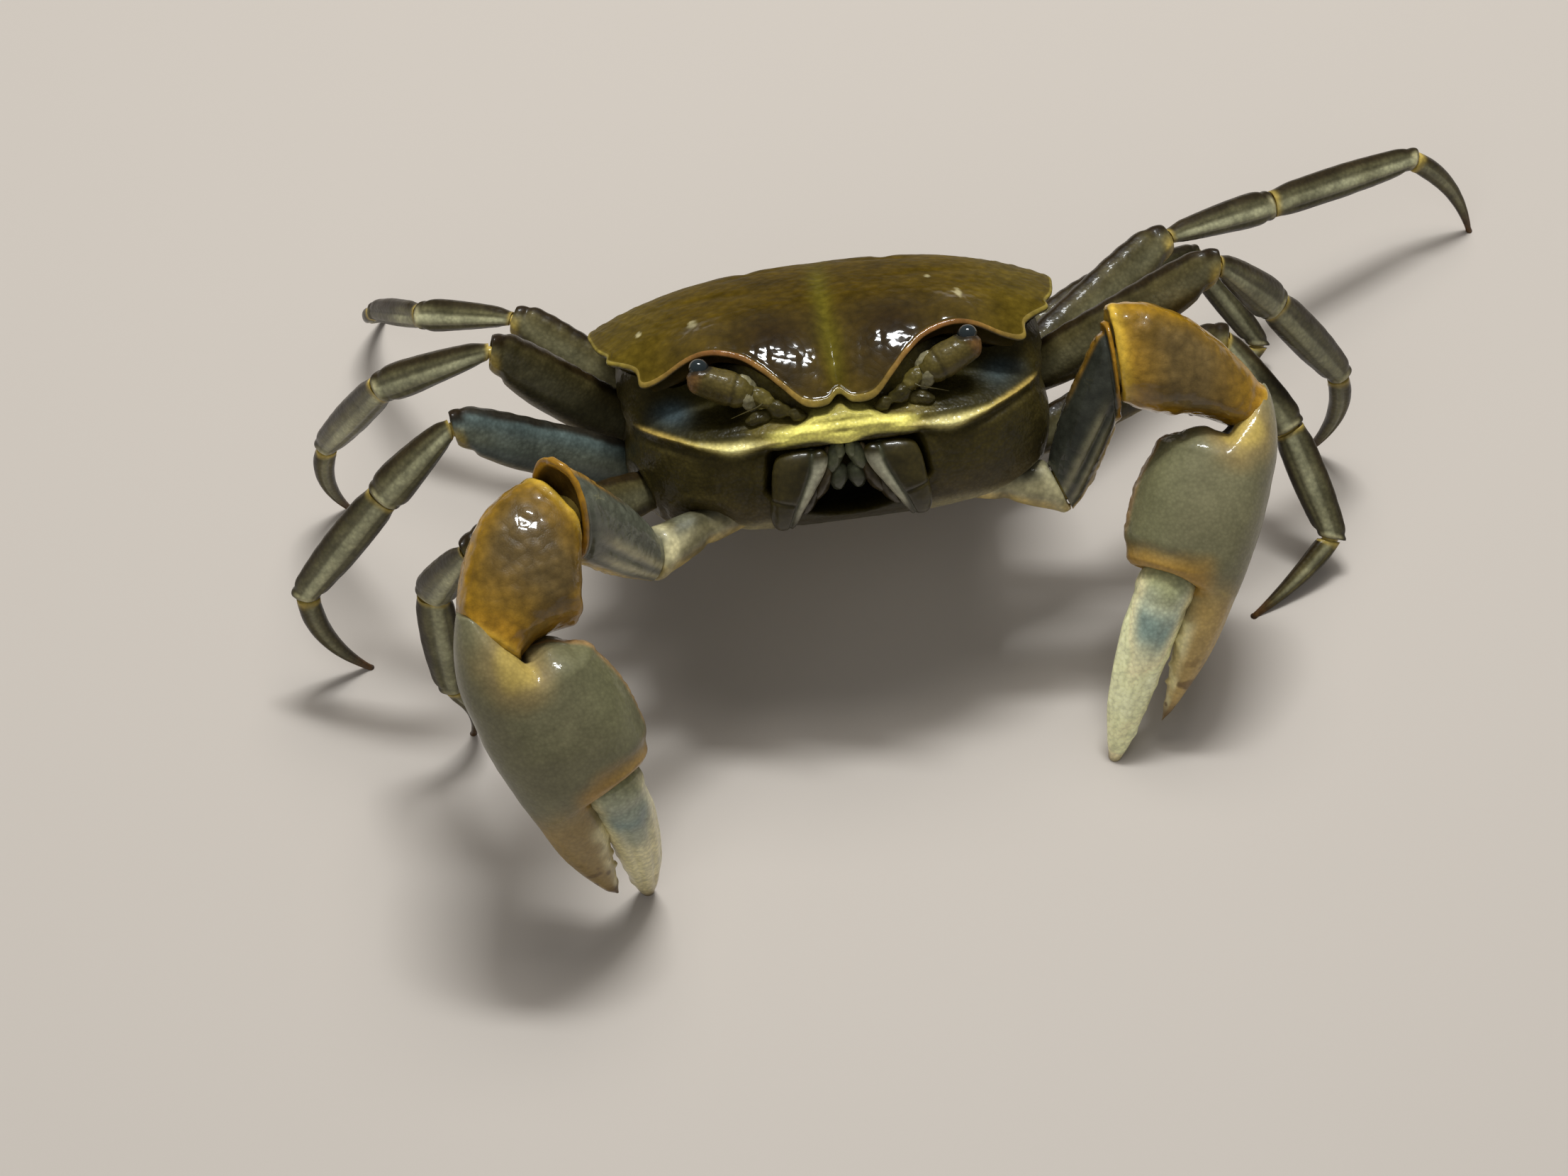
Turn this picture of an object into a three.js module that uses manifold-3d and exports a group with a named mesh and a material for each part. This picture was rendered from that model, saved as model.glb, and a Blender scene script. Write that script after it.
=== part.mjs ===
// Shore crab at life size: a deep-bodied estuary crab with its front raised, its two claws hanging in
// front of it and its eight walking legs spread on the ground. Millimetres, +Z up, the ground at z = 0.
// The crab faces -Y, so its left side is +X.
import * as THREE from 'three';
import Module from 'manifold-3d';
import { mergeVertices } from 'three/addons/utils/BufferGeometryUtils.js';

const wasm = await Module();
wasm.setup();
const { degToRad } = THREE.MathUtils;
const vec = (x, y, z) => new THREE.Vector3(x, y, z);
// A sine or cosine raised to a power with its sign kept: under 1 it squares the corners of a section.
const squared = (value, power) => Math.sign(value) * Math.abs(value) ** power;

// ---- driving dimensions -------------------------------------------------------------------------
const GAP = 0.3;                        // clearance between neighbouring plates
const EYE_GAP = 0.1;                    // clearance round an eye in its socket
const BODY_HEIGHT = 28;                 // centre of the carapace above the ground
const BODY_PITCH = 37;                  // degrees the front is raised
const BODY_ROLL = 4;                    // degrees the left side is raised
const HALF_WIDTH = 22;                  // half the carapace width
const CROWN = 4.1;                      // crown of the carapace above its side margin
const RIM = 0.9;                        // thickness of the carapace margin
const SHELL_FLOOR = -2.2;               // flat underside of the carapace below its centre
const LID_HEIGHT = 12;                  // clear of the highest point of the carapace
const BOW = 0.1;                        // bend of a leg's last plate, as a share of its joint's height
const [SIDE_CORNER, CORNER] = [0.8, 0.9];   // powers that square the corners of a plate's section
const TOE = 0.35;                       // radius of the flat under a leg tip
const CLAW_TOE = 0.6;                   // radius of the flat under a claw tip
const FOOTPRINT_CENTRE = vec(9.96, -9.45, 0);   // middle of the whole crab seen from above

// ---- colours ------------------------------------------------------------------------------------
const finish = (color, roughness) => new THREE.MeshStandardMaterial({ color, roughness, metalness: 0 });
const SHELL = finish(0x4a4014, 0.3);
const FACE = finish(0x3a3320, 0.35);
const BELLY = finish(0x8f8a64, 0.45);
const LEG = finish(0x4d4f38, 0.35);
const ARM = finish(0x7a4a12, 0.3);
const PALM = finish(0x6d6c4a, 0.35);
const FINGER = finish(0xa7a06c, 0.35);
const STALK = finish(0x6b5a24, 0.35);
const CORNEA = finish(0x0b0d12, 0.05);

// ---- solids -------------------------------------------------------------------------------------
function signedVolume(positions, index) {
  const [a, b, c] = [vec(), vec(), vec()];
  let sum = 0;
  for (let i = 0; i < index.length; i += 3) {
    a.fromArray(positions, index[i] * 3);
    b.fromArray(positions, index[i + 1] * 3);
    c.fromArray(positions, index[i + 2] * 3);
    sum += a.dot(b.cross(c));
  }
  return sum / 6;
}

// One closed skin over rings that all have the same number of points, with a cap at each end.
function loft(rings) {
  const positions = [];
  const index = [];
  const n = rings[0].length;
  for (const ring of rings) {
    for (const p of ring) positions.push(p.x, p.y, p.z);
  }
  for (let r = 0; r + 1 < rings.length; r += 1) {
    for (let i = 0; i < n; i += 1) {
      const a = r * n + i;
      const b = r * n + ((i + 1) % n);
      index.push(a, b, a + n, b, b + n, a + n);
    }
  }
  for (const [first, flip] of [[0, true], [(rings.length - 1) * n, false]]) {
    const centre = positions.length / 3;
    const middle = vec(0, 0, 0);
    for (let i = 0; i < n; i += 1) middle.add(vec().fromArray(positions, (first + i) * 3));
    middle.divideScalar(n);
    positions.push(middle.x, middle.y, middle.z);
    for (let i = 0; i < n; i += 1) {
      const a = first + i;
      const b = first + ((i + 1) % n);
      index.push(centre, flip ? b : a, flip ? a : b);
    }
  }
  if (signedVolume(positions, index) < 0) index.reverse();
  const geometry = new THREE.BufferGeometry();
  geometry.setAttribute('position', new THREE.Float32BufferAttribute(positions, 3));
  geometry.setIndex(index);
  return geometry;
}

// The same body on the other side of the crab.
function mirrored(geometry) {
  const twin = geometry.clone().scale(-1, 1, 1);
  twin.setIndex(Array.from(geometry.index.array).reverse());
  return twin;
}

function toSolid(geometry, matrix = new THREE.Matrix4()) {
  const bare = geometry.clone().applyMatrix4(matrix);
  bare.deleteAttribute('normal');
  bare.deleteAttribute('uv');
  const merged = mergeVertices(bare, 1e-4);
  const vertProperties = new Float32Array(merged.attributes.position.array);
  const triVerts = new Uint32Array(merged.index.array);
  return new wasm.Manifold(new wasm.Mesh({ numProp: 3, vertProperties, triVerts }));
}

function toGeometry(solid) {
  const mesh = solid.getMesh();
  const geometry = new THREE.BufferGeometry();
  geometry.setAttribute('position', new THREE.Float32BufferAttribute(mesh.vertProperties, 3));
  geometry.setIndex(new THREE.Uint32BufferAttribute(mesh.triVerts, 1));
  return geometry;
}

function mesh(name, geometry, material) {
  const piece = new THREE.Mesh(geometry, material);
  piece.name = name;
  return piece;
}

// ---- carapace, in the body's frame: centre of the shell at the origin, front towards -Y ----------
// Left half of the margin from the median notch round to the middle of the back.
const MARGIN = [
  [0, -17.2], [1.2, -17.8], [3.2, -17.9], [5.1, -17.0], [6.8, -15.9], [8.5, -14.9],   // frontal lobe
  [10.7, -14.3], [13.6, -14.0], [15.8, -13.9],                                        // orbit
  [17.6, -13.4], [18.0, -11.8], [20.3, -9.2], [20.4, -7.8], [21.3, -5.0],             // side teeth
  [21.8, -1.5], [HALF_WIDTH, 2], [21.3, 7], [19, 12], [15, 15.6], [9.5, 17.4], [4.5, 17.9], [0, 18],
];
const HUB = [0, 1];                                 // where the growth rings of the shell start
const [SIDE_FALL, SIDE_POWER] = [0.00107, 2.67];    // fall of the shell to its sides
const [BACK_FALL, FRONT_FALL] = [0.024, 0.012];
const [BEND_START, BEND_FALL] = [-8, 0.054];        // the front is bent down from here on
const HUMPS = [[1.5, 12, -14.2, 2.6], [1.4, 5.5, -15.5, 3.2]];   // orbit and lobe: height, x, y, width

function shellHeight(x, y) {
  const side = Math.abs(x);
  let z = CROWN - SIDE_FALL * side ** SIDE_POWER;
  z -= (y > 0 ? BACK_FALL : FRONT_FALL) * y ** 2;
  if (y < BEND_START) z -= BEND_FALL * (y - BEND_START) ** 2;
  for (const [height, cx, cy, width] of HUMPS) {
    z += height * Math.exp(-((side - cx) ** 2 + (y - cy) ** 2) / (2 * width ** 2));
  }
  return z;
}

function marginPoints() {
  const right = MARGIN.slice(1, -1).reverse().map(([x, y]) => [-x, y]);
  return [...MARGIN, ...right];
}

// Margin drawn in towards the hub by a share, at a height that is a function of place.
function marginRing(share, height) {
  return marginPoints().map(([x, y]) => {
    const px = HUB[0] + (x - HUB[0]) * share;
    const py = HUB[1] + (y - HUB[1]) * share;
    return vec(px, py, height(px, py));
  });
}

// Underside of the carapace, lowered by a drop: it hangs from the margin to a flat floor.
function undersideRings(drop, widest) {
  const atMargin = marginRing(1, (x, y) => shellHeight(x, y) - RIM);
  return [widest, 0.8, 0.4].map((share) => marginRing(share, () => 0).map((p, i) => {
    p.z = THREE.MathUtils.lerp(SHELL_FLOOR, atMargin[i].z, Math.min(share, 1) ** 2) - drop;
    return p;
  }));
}

function carapaceGeometry() {
  const top = [0.2, 0.42, 0.62, 0.8, 0.92, 1].map((share) => marginRing(share, shellHeight));
  return loft([...top, ...undersideRings(0, 0.985)]);
}

// Everything above the underside of the carapace, with the clearance below it.
function aboveCarapace() {
  const lid = marginRing(1.03, () => LID_HEIGHT);
  return loft([lid, ...undersideRings(GAP, 1.03)]);
}

// ---- lower body ---------------------------------------------------------------------------------
// Each level is [height, half width, front, back].
const LEVELS = [
  [0.6, 17, -11.5, 14.2], [-1.5, 19.4, -12.9, 15.4], [-4.2, 19.9, -14.4, 15.2], [-6.0, 19.6, -17.0, 14.8],
  [-6.9, 19.4, -17.8, 14.5], [-10, 19.9, -17.4, 13.2], [-13, 19.4, -16.8, 11.4], [-15.6, 17.6, -15.6, 9],
  [-17.0, 12.5, -12.5, 6.5],
];
const LEVEL_POINTS = 22;

function levelRing([z, width, front, back]) {
  const squareness = 0.62;
  const middle = -3;
  return Array.from({ length: LEVEL_POINTS }, (_, i) => {
    const angle = (i / LEVEL_POINTS) * 2 * Math.PI;
    const [c, s] = [Math.cos(angle), Math.sin(angle)];
    const depth = s < 0 ? middle - front : back - middle;
    return vec(width * squared(c, squareness), middle + depth * squared(s, squareness), z);
  });
}

// A flattened strip along a path: rows are [point, half width along X, half thickness].
function strip(rows, points = 8) {
  const rings = rows.map(([centre, width, thick], r) => {
    const before = rows[Math.max(r - 1, 0)][0];
    const after = rows[Math.min(r + 1, rows.length - 1)][0];
    const along = after.clone().sub(before).normalize();
    const up = vec(1, 0, 0).cross(along).normalize();
    return Array.from({ length: points }, (_, i) => {
      const angle = (i / points) * 2 * Math.PI;
      return centre.clone()
        .addScaledVector(vec(1, 0, 0), width * Math.cos(angle))
        .addScaledVector(up, thick * Math.sin(angle));
    });
  });
  return loft(rings);
}

const abdomenStrip = (grow) => strip([
  [vec(0, 15.6, -5.5), 6.2 + grow, 0.5 + grow],
  [vec(0, 14.6, -10.5), 6.0 + grow, 0.9 + grow],
  [vec(0, 11.2, -14.6), 5.2 + grow, 1.0 + grow],
  [vec(0, 6.0, -16.9), 4.2 + grow, 1.0 + grow],
  [vec(0, 0.5, -17.4), 3.2 + grow, 0.9 + grow],
  [vec(0, -4.0 - grow, -17.2), 1.7 + grow, 0.6 + grow],
]);

// Third maxilliped: a bent plate that closes one side of the mouth and leaves a gap in the middle.
const MAXILLIPED_HALF = 0.9;              // half its thickness

function maxilliped(side) {
  const rows = [[-8.6, 3.9, 2.5, -17.2], [-10.2, 4.3, 2.5, -17.5], [-12.4, 5.1, 2.0, -17.4],
    [-14.4, 5.9, 1.5, -16.9], [-16.2, 6.3, 0.9, -16.0]];
  const points = 8;
  return loft(rows.map(([z, centre, half, y]) => Array.from({ length: points }, (_, i) => {
    const angle = (i / points) * 2 * Math.PI;
    return vec(side * (centre + half * Math.cos(angle)), y + MAXILLIPED_HALF * Math.sin(angle), z);
  })));
}

// Hollow of the mouth, behind and between the maxillipeds: rows are [height, half width, back].
function mouthHollow() {
  const rows = [[-8.2, 6.4, -14.6], [-9.0, 7.6, -14.2], [-13.5, 8.0, -13.8], [-18.5, 7.4, -13.0]];
  const [front, flare] = [-19.5, 0.6];
  return loft(rows.map(([z, half, back]) => [
    vec(-half, back, z), vec(half, back, z), vec(half + flare, front, z), vec(-half - flare, front, z),
  ]));
}

// Hollow under one eye.
const ORBIT_HALF = [5.2, 2.6, 2.3];
const ORBIT_CENTRE = vec(12.6, -15.6, -2.6);
const ORBIT_TURN = 0.28;
const BALL_SEGMENTS = [10, 6];

function orbitHollow(side) {
  const ball = new THREE.SphereGeometry(1, ...BALL_SEGMENTS);
  ball.scale(...ORBIT_HALF);
  ball.rotateZ(side * ORBIT_TURN);
  ball.translate(side * ORBIT_CENTRE.x, ORBIT_CENTRE.y, ORBIT_CENTRE.z);
  return ball;
}

// ---- eyes ---------------------------------------------------------------------------------------
const STALK_ROOT = vec(8.2, -15.95, -3.1);
const STALK_END = vec(12.25, -15.6, -1.35);
const CORNEA_CENTRE = vec(12.2, -15.6, -0.28);
const CORNEA_RADIUS = 0.88;

function stalkGeometry(side, grow) {
  const along = STALK_END.clone().sub(STALK_ROOT);
  const length = along.length();
  along.normalize();
  const profile = [[-0.1, 0.9], [0.15, 1.5], [0.45, 1.6], [0.75, 1.5], [1, 1.36], [1.18, 1.0]];
  const points = [new THREE.Vector2(0, -0.1 * length - grow)];
  for (const [u, radius] of profile) points.push(new THREE.Vector2(radius + grow, u * length));
  points.push(new THREE.Vector2(0, 1.25 * length + grow));
  const lathe = new THREE.LatheGeometry(points, 10);
  lathe.applyQuaternion(new THREE.Quaternion().setFromUnitVectors(vec(0, 1, 0), along));
  lathe.translate(STALK_ROOT.x, STALK_ROOT.y, STALK_ROOT.z);
  return side < 0 ? mirrored(lathe) : lathe;
}

function corneaGeometry(side, grow) {
  const ball = new THREE.SphereGeometry(CORNEA_RADIUS + grow, ...BALL_SEGMENTS);
  ball.translate(side * CORNEA_CENTRE.x, CORNEA_CENTRE.y, CORNEA_CENTRE.z);
  return ball;
}

// Eyestalk with the socket its eye sits in.
function stalkWithSocket(side) {
  return toGeometry(toSolid(stalkGeometry(side, 0)).subtract(toSolid(corneaGeometry(side, EYE_GAP))));
}

// ---- limbs --------------------------------------------------------------------------------------
// Lengths of the plates from the body outwards, and the point on the left of the body they start from.
const KINDS = {
  claw: { lengths: [12, 13.5, 13.5, 17.2], hip: vec(8.5, -11.5, -14.0) },
  leg1: { lengths: [4.6, 24.5, 11, 12], hip: vec(12.5, -6.5, -13) },
  leg2: { lengths: [4.5, 23, 10.5, 15], hip: vec(13.8, -1, -13) },
  leg3: { lengths: [4.5, 24.6, 13, 19], hip: vec(13.2, 4.5, -12.5) },
  leg4: { lengths: [4.3, 18, 10, 12], hip: vec(11, 9.5, -11.5) },
};
const CLAW_PLATES = ['ischium', 'merus', 'carpus', 'palm', 'finger'];
const LEG_PLATES = ['ischium', 'merus', 'carpus', 'propodus', 'dactyl'];
const CLAW_FACE = vec(0, -0.588, 0.809);   // way the broad outer face of a claw looks

// Stance: each plate points [degrees round from straight out towards the back, degrees up]. The last
// plate goes down to the ground at [degrees round, distance across the ground].
const STANCE = {
  right_claw: { turn: [[-34, 4], [-20, 55], [-58, -16], [-145, -46]], tip: [-177, 2.2] },
  left_claw: { turn: [[1, -17], [44, 53], [-9, -28], [-126, -31]], tip: [-117, 9.7] },
  right_leg1: { turn: [[-22, 16], [-37, 23], [43, -65], [-107, -78]], tip: [128, 1.9] },
  left_leg1: { turn: [[4, -15], [30, -3], [-43, -42], [-59, -47]], tip: [-143, 10.1] },
  right_leg2: { turn: [[-12, 9], [-16, 38], [-10, -50], [-10, -55]], tip: [-177, 4.9] },
  left_leg2: { turn: [[39, 39], [9, 32.5], [15, -52], [8, -57]], tip: [142, 1.9] },
  right_leg3: { turn: [[-3, 19], [-17, 52.5], [15, -36], [44, -60]], tip: [136, 1.7] },
  left_leg3: { turn: [[39, -19], [41, 7], [26, -12], [27, -11]], tip: [-2, 7.4] },
  right_leg4: { turn: [[14, -8], [26, 24], [21, -17], [56, -40]], tip: [93, 6.3] },
  left_leg4: { turn: [[27, -20], [34, 5], [25, -12], [-31, -48]], tip: [-141, 9.5] },
};

const bodyTurn = new THREE.Euler(-degToRad(BODY_PITCH), -degToRad(BODY_ROLL), 0);
const bodyMatrix = new THREE.Matrix4().makeRotationFromEuler(bodyTurn).setPosition(0, 0, BODY_HEIGHT);
const bodyForward = vec(0, -1, 0).transformDirection(bodyMatrix);

function heading(side, around, up) {
  const [a, e] = [degToRad(around), degToRad(up)];
  return vec(side * Math.cos(a) * Math.cos(e), Math.sin(a) * Math.cos(e), Math.sin(e));
}

// The six points of a limb: hip, four joints and the tip on the ground.
function limbPoints(side, kind, stance) {
  const hip = kind.hip.clone();
  hip.x *= side;
  const points = [hip.applyMatrix4(bodyMatrix)];
  stance.turn.forEach(([around, up], i) => {
    points.push(points[i].clone().addScaledVector(heading(side, around, up), kind.lengths[i]));
  });
  const [around, reach] = stance.tip;
  const tip = points[4].clone().addScaledVector(heading(side, around, 0), reach);
  tip.z = 0;
  return [...points, tip];
}

// Frame of a plate: X along it, Y through its thin way, Z towards its upper edge, which is the outer
// side of the bend from the plate before it.
function plateFrame(points, i, forward) {
  const x = points[i + 1].clone().sub(points[i]).normalize();
  const y = forward.clone().addScaledVector(x, -forward.dot(x)).normalize();
  const z = x.clone().cross(y);
  const outer = i > 1 ? points[i].clone().sub(points[i - 1]).normalize() : vec(0, 0, 1);
  const upper = Math.abs(outer.dot(z)) > NEARLY_STRAIGHT ? outer.dot(z) : z.z;
  if (upper < 0) {
    y.negate();
    z.negate();
  }
  return new THREE.Matrix4().makeBasis(x, y, z).setPosition(points[i]);
}

// Section of a plate at x: upper, lower and side half sizes.
function section(x, up, down, side, points, shift = 0) {
  return Array.from({ length: points }, (_, i) => {
    const angle = ((i + 0.5) / points) * 2 * Math.PI;
    const [c, s] = [Math.cos(angle), Math.sin(angle)];
    const reach = s > 0 ? up : down;
    return vec(x, side * squared(c, SIDE_CORNER), shift + reach * squared(s, CORNER));
  });
}

// Outlines: [share of the length, upper half, lower half, side half], as shares of the plate's size.
const OUTLINES = {
  ischium: [[0, 0.8, 0.8, 0.8], [0.4, 1, 1, 1], [0.75, 1, 1, 0.95], [1, 0.85, 0.8, 0.8]],
  merus: [[0, 0.55, 0.6, 0.8], [0.1, 0.85, 0.75, 0.95], [0.35, 1, 1, 1], [0.7, 1, 0.95, 1],
    [0.92, 0.9, 0.7, 0.9], [1, 0.6, 0.5, 0.7]],
  carpus: [[0, 0.5, 0.35, 0.6], [0.16, 0.72, 0.45, 0.78], [0.5, 1, 0.65, 0.95], [0.85, 1.15, 0.8, 1],
    [1, 1.05, 0.7, 0.85]],
  propodus: [[0, 1.05, 0.7, 0.85], [0.14, 1.15, 0.78, 0.95], [0.45, 1.2, 0.8, 1], [0.85, 1, 0.65, 0.85],
    [1, 0.8, 0.5, 0.65]],
};
// Half height and half thickness of each plate of a leg.
const LEG_SIZES = {
  leg1: {
    ischium: [2.2, 2.0], merus: [2.35, 1.4],
    carpus: [1.85, 1.4], propodus: [1.7, 1.25], dactyl: [1.1, 0.9],
  },
  leg2: {
    ischium: [2.3, 2.1], merus: [2.45, 1.5],
    carpus: [1.9, 1.5], propodus: [1.75, 1.3], dactyl: [1.15, 0.95],
  },
  leg3: {
    ischium: [2.3, 2.1], merus: [2.55, 1.5],
    carpus: [1.65, 1.4], propodus: [1.55, 1.2], dactyl: [1.1, 0.9],
  },
  leg4: {
    ischium: [2.2, 2.0], merus: [2.3, 1.4],
    carpus: [1.5, 1.3], propodus: [1.3, 1.1], dactyl: [1.0, 0.85],
  },
};
const PLATE_POINTS = 8;
const NEARLY_STRAIGHT = 0.1;             // bend under which a plate's upper edge is simply its top
const SOCKET_DEPTH = 3;                  // the first plate starts this far inside the body

// Stretches a section's points between a plate's two slanted ends, at a share of the way.
function between(ring, share, ends) {
  return ring.map((p) => p.clone().setX(THREE.MathUtils.lerp(ends.near(p), ends.far(p), share)));
}

function plateGeometry([high, thick], outline, ends, grow = 0) {
  return loft(outline.map(([share, up, down, side]) => {
    const ring = section(0, up * high + grow, down * high + grow, side * thick + grow, PLATE_POINTS);
    return between(ring, share, ends);
  }));
}

// Curved last plate of a leg: it tapers, bends with its back outwards and ends in a flat on the ground.
function dactylGeometry(frame, length, [high, thick], ends) {
  const stations = [[0, 0.85], [0.14, 1], [0.35, 0.88], [0.6, 0.66], [0.8, 0.46], [0.92, 0.33]];
  const bow = BOW * frame.elements[14];
  const rings = stations.map(([u, size]) => {
    const [half, rise] = [high * size, bow * 4 * u * (1 - u)];
    const ring = section(u * length, half, half, thick * size, PLATE_POINTS, rise);
    return u === 0 ? between(ring, 0, ends) : ring.map((p) => keptAboveGround(p, frame));
  });
  rings.push(groundRing(frame, length, TOE, PLATE_POINTS));
  return loft(rings);
}

function keptAboveGround(p, frame) {
  const placed = p.clone().applyMatrix4(frame);
  placed.z = Math.max(placed.z, 0);
  return placed.applyMatrix4(frame.clone().invert());
}

// Ring of a plate's last points, flat on the ground, written in the plate's own frame.
function groundRing(frame, length, radius, points) {
  const inverse = frame.clone().invert();
  const tip = vec(length, 0, 0).applyMatrix4(frame);
  const across = vec(0, 1, 0).transformDirection(frame).setZ(0).normalize();
  const along = vec(1, 0, 0).transformDirection(frame).setZ(0).normalize();
  const upwards = vec(0, 0, 1).transformDirection(frame);
  along.addScaledVector(across, -along.dot(across)).normalize();
  if (along.dot(upwards) < 0) along.negate();
  return Array.from({ length: points }, (_, i) => {
    const angle = ((i + 0.5) / points) * 2 * Math.PI;
    const spot = vec(tip.x, tip.y, 0)
      .addScaledVector(across, radius * Math.cos(angle))
      .addScaledVector(along, radius * Math.sin(angle));
    spot.z = 0;
    return spot.applyMatrix4(inverse);
  });
}

// ---- claws --------------------------------------------------------------------------------------
const HINGE_RISE = degToRad(11);         // the finger's hinge lies this far above the palm's axis
// Palm and fixed finger: [x, lower edge, upper edge, outer half, inner half, inward bend].
const PALM_ROWS = [
  [5.0, -5.1, 7.1, 4.75, 3.4, 0], [9.5, -5.3, 8.0, 4.9, 3.5, 0], [13.4, -5.1, 7.8, 4.4, 3.2, 0.1],
  [16.2, -4.8, 6.5, 3.4, 2.7, 0.4], [17.0, -4.7, 0.6, 2.7, 2.3, 0.7], [20.5, -4.4, 0.5, 2.2, 1.9, 2.1],
  [24.5, -3.6, -0.2, 1.6, 1.4, 4.1], [28.2, -2.4, -1.0, 0.9, 0.8, 6.3], [29.6, -1.7, -1.2, 0.4, 0.4, 7.2],
];
// Where the palm starts at the wrist, as [height, x]: a lobe below, a notch, and the crest's shoulder.
const PALM_START = [
  [-1.7, -3.9], [-1.0, -3.6], [-0.4, -2.4], [0.6, 0.2], [1.35, 2.4], [2.2, 2.45], [3.4, 2.3], [4.8, 2.8],
  [5.5, 3.5],
];
// Lower and upper edge, outer and inner half at the start. The left palm's lower edge is less deep.
const PALM_NEAR = { left: [-0.7, 5.5, 2.4, 2.2], right: [-1.7, 5.5, 2.4, 2.2] };
const PALM_LOWER = { left: 0.78, right: 1 };
// Moving finger: [share of the length, half height, half thickness].
const FINGER_ROWS = [
  [0, 2.75, 2.3], [0.12, 2.65, 2.3], [0.35, 2.4, 1.95], [0.6, 2.0, 1.55], [0.82, 1.45, 1.15],
  [0.94, 0.95, 0.8],
];
const FINGER_BOW = [0.7, 1.2];              // pull on the finger's curve towards its back and outwards
const FINGER_DROP = 0.5;                    // the finger's root lies this far under its hinge

// Claw frame: X along the palm, Y to the outer face, Z to the upper edge that carries the finger.
function clawFrame(side, wrist, hinge) {
  const line = hinge.clone().sub(wrist).normalize();
  const outer = CLAW_FACE.clone();
  outer.addScaledVector(line, -outer.dot(line)).normalize();
  const upper = outer.clone().cross(line);
  if (upper.x * side > 0) upper.negate();
  const [c, s] = [Math.cos(HINGE_RISE), Math.sin(HINGE_RISE)];
  const x = line.clone().multiplyScalar(c).addScaledVector(upper, -s);
  const z = upper.clone().multiplyScalar(c).addScaledVector(line, s);
  return { x, outer, z, wrist };
}

function clawPoint({ x, outer, z, wrist }, along, out, up) {
  return wrist.clone().addScaledVector(x, along).addScaledVector(outer, out).addScaledVector(z, up);
}

function palmStart(z) {
  const after = PALM_START.findIndex(([height]) => z <= height);
  if (after === 0) return PALM_START[0][1];
  if (after < 0) return PALM_START[PALM_START.length - 1][1];
  const [[z0, x0], [z1, x1]] = [PALM_START[after - 1], PALM_START[after]];
  return THREE.MathUtils.lerp(x0, x1, (z - z0) / (z1 - z0));
}

// Ring of the palm with its x as a function of height.
function palmRing(claw, [low, high, outHalf, inHalf, bend], alongAt) {
  const points = 14;
  return Array.from({ length: points }, (_, i) => {
    const angle = (i / points) * 2 * Math.PI;
    const [c, s] = [Math.cos(angle), Math.sin(angle)];
    const out = (c > 0 ? outHalf : inHalf) * squared(c, CORNER);
    const z = (low + high) / 2 + ((high - low) / 2) * squared(s, CORNER);
    return clawPoint(claw, alongAt(z), out - bend, z);
  });
}

function palmGeometry(claw, prefix) {
  const rows = PALM_ROWS.map(([along, low, ...row]) => [along, low * PALM_LOWER[prefix], ...row]);
  const [[firstX, ...firstRow]] = rows;
  const nearRings = [0, 0.3, 0.65].map((v) => {
    const grown = 1 - (1 - v) ** 2;
    const sizes = PALM_NEAR[prefix].map((size, k) => THREE.MathUtils.lerp(size, firstRow[k], grown));
    return palmRing(claw, [...sizes, 0], (z) => THREE.MathUtils.lerp(palmStart(z), firstX, v));
  });
  return loft([...nearRings, ...rows.map(([along, ...row]) => palmRing(claw, row, () => along))]);
}

// Moving finger from its hinge to its tip on the ground.
function fingerGeometry(claw, hinge, tip, grow) {
  const points = 10;
  const start = hinge.clone().addScaledVector(claw.z, -FINGER_DROP);
  const bulge = start.clone().lerp(tip, 0.5)
    .addScaledVector(claw.z, FINGER_BOW[0])
    .addScaledVector(claw.outer, FINGER_BOW[1]);
  const curve = new THREE.QuadraticBezierCurve3(start, bulge, tip);
  const ringAround = (centre, along, high, thick) => {
    const side = claw.outer.clone().addScaledVector(along, -claw.outer.dot(along)).normalize();
    const upper = along.clone().cross(side).normalize();
    if (upper.dot(claw.z) < 0) upper.negate();
    return Array.from({ length: points }, (_, i) => {
      const angle = (i / points) * 2 * Math.PI;
      return centre.clone()
        .addScaledVector(side, thick * Math.cos(angle))
        .addScaledVector(upper, high * Math.sin(angle));
    });
  };
  const rings = FINGER_ROWS.map(([u, high, thick], r) => ringAround(
    curve.getPoint(u).addScaledVector(claw.x, r === 0 ? -grow : 0),
    r === 0 ? claw.x : curve.getTangent(u), high + grow, thick + grow,
  ));
  const across = claw.outer.clone().setZ(0).normalize();
  const along = vec(0, 0, 1).cross(across);
  if (along.dot(claw.z) < 0) along.negate();
  rings.push(Array.from({ length: points }, (_, i) => {
    const angle = (i / points) * 2 * Math.PI;
    const spot = vec(tip.x, tip.y, 0)
      .addScaledVector(across, CLAW_TOE * Math.cos(angle))
      .addScaledVector(along, CLAW_TOE * Math.sin(angle));
    return spot.setZ(0);
  }));
  return loft(rings);
}

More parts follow.
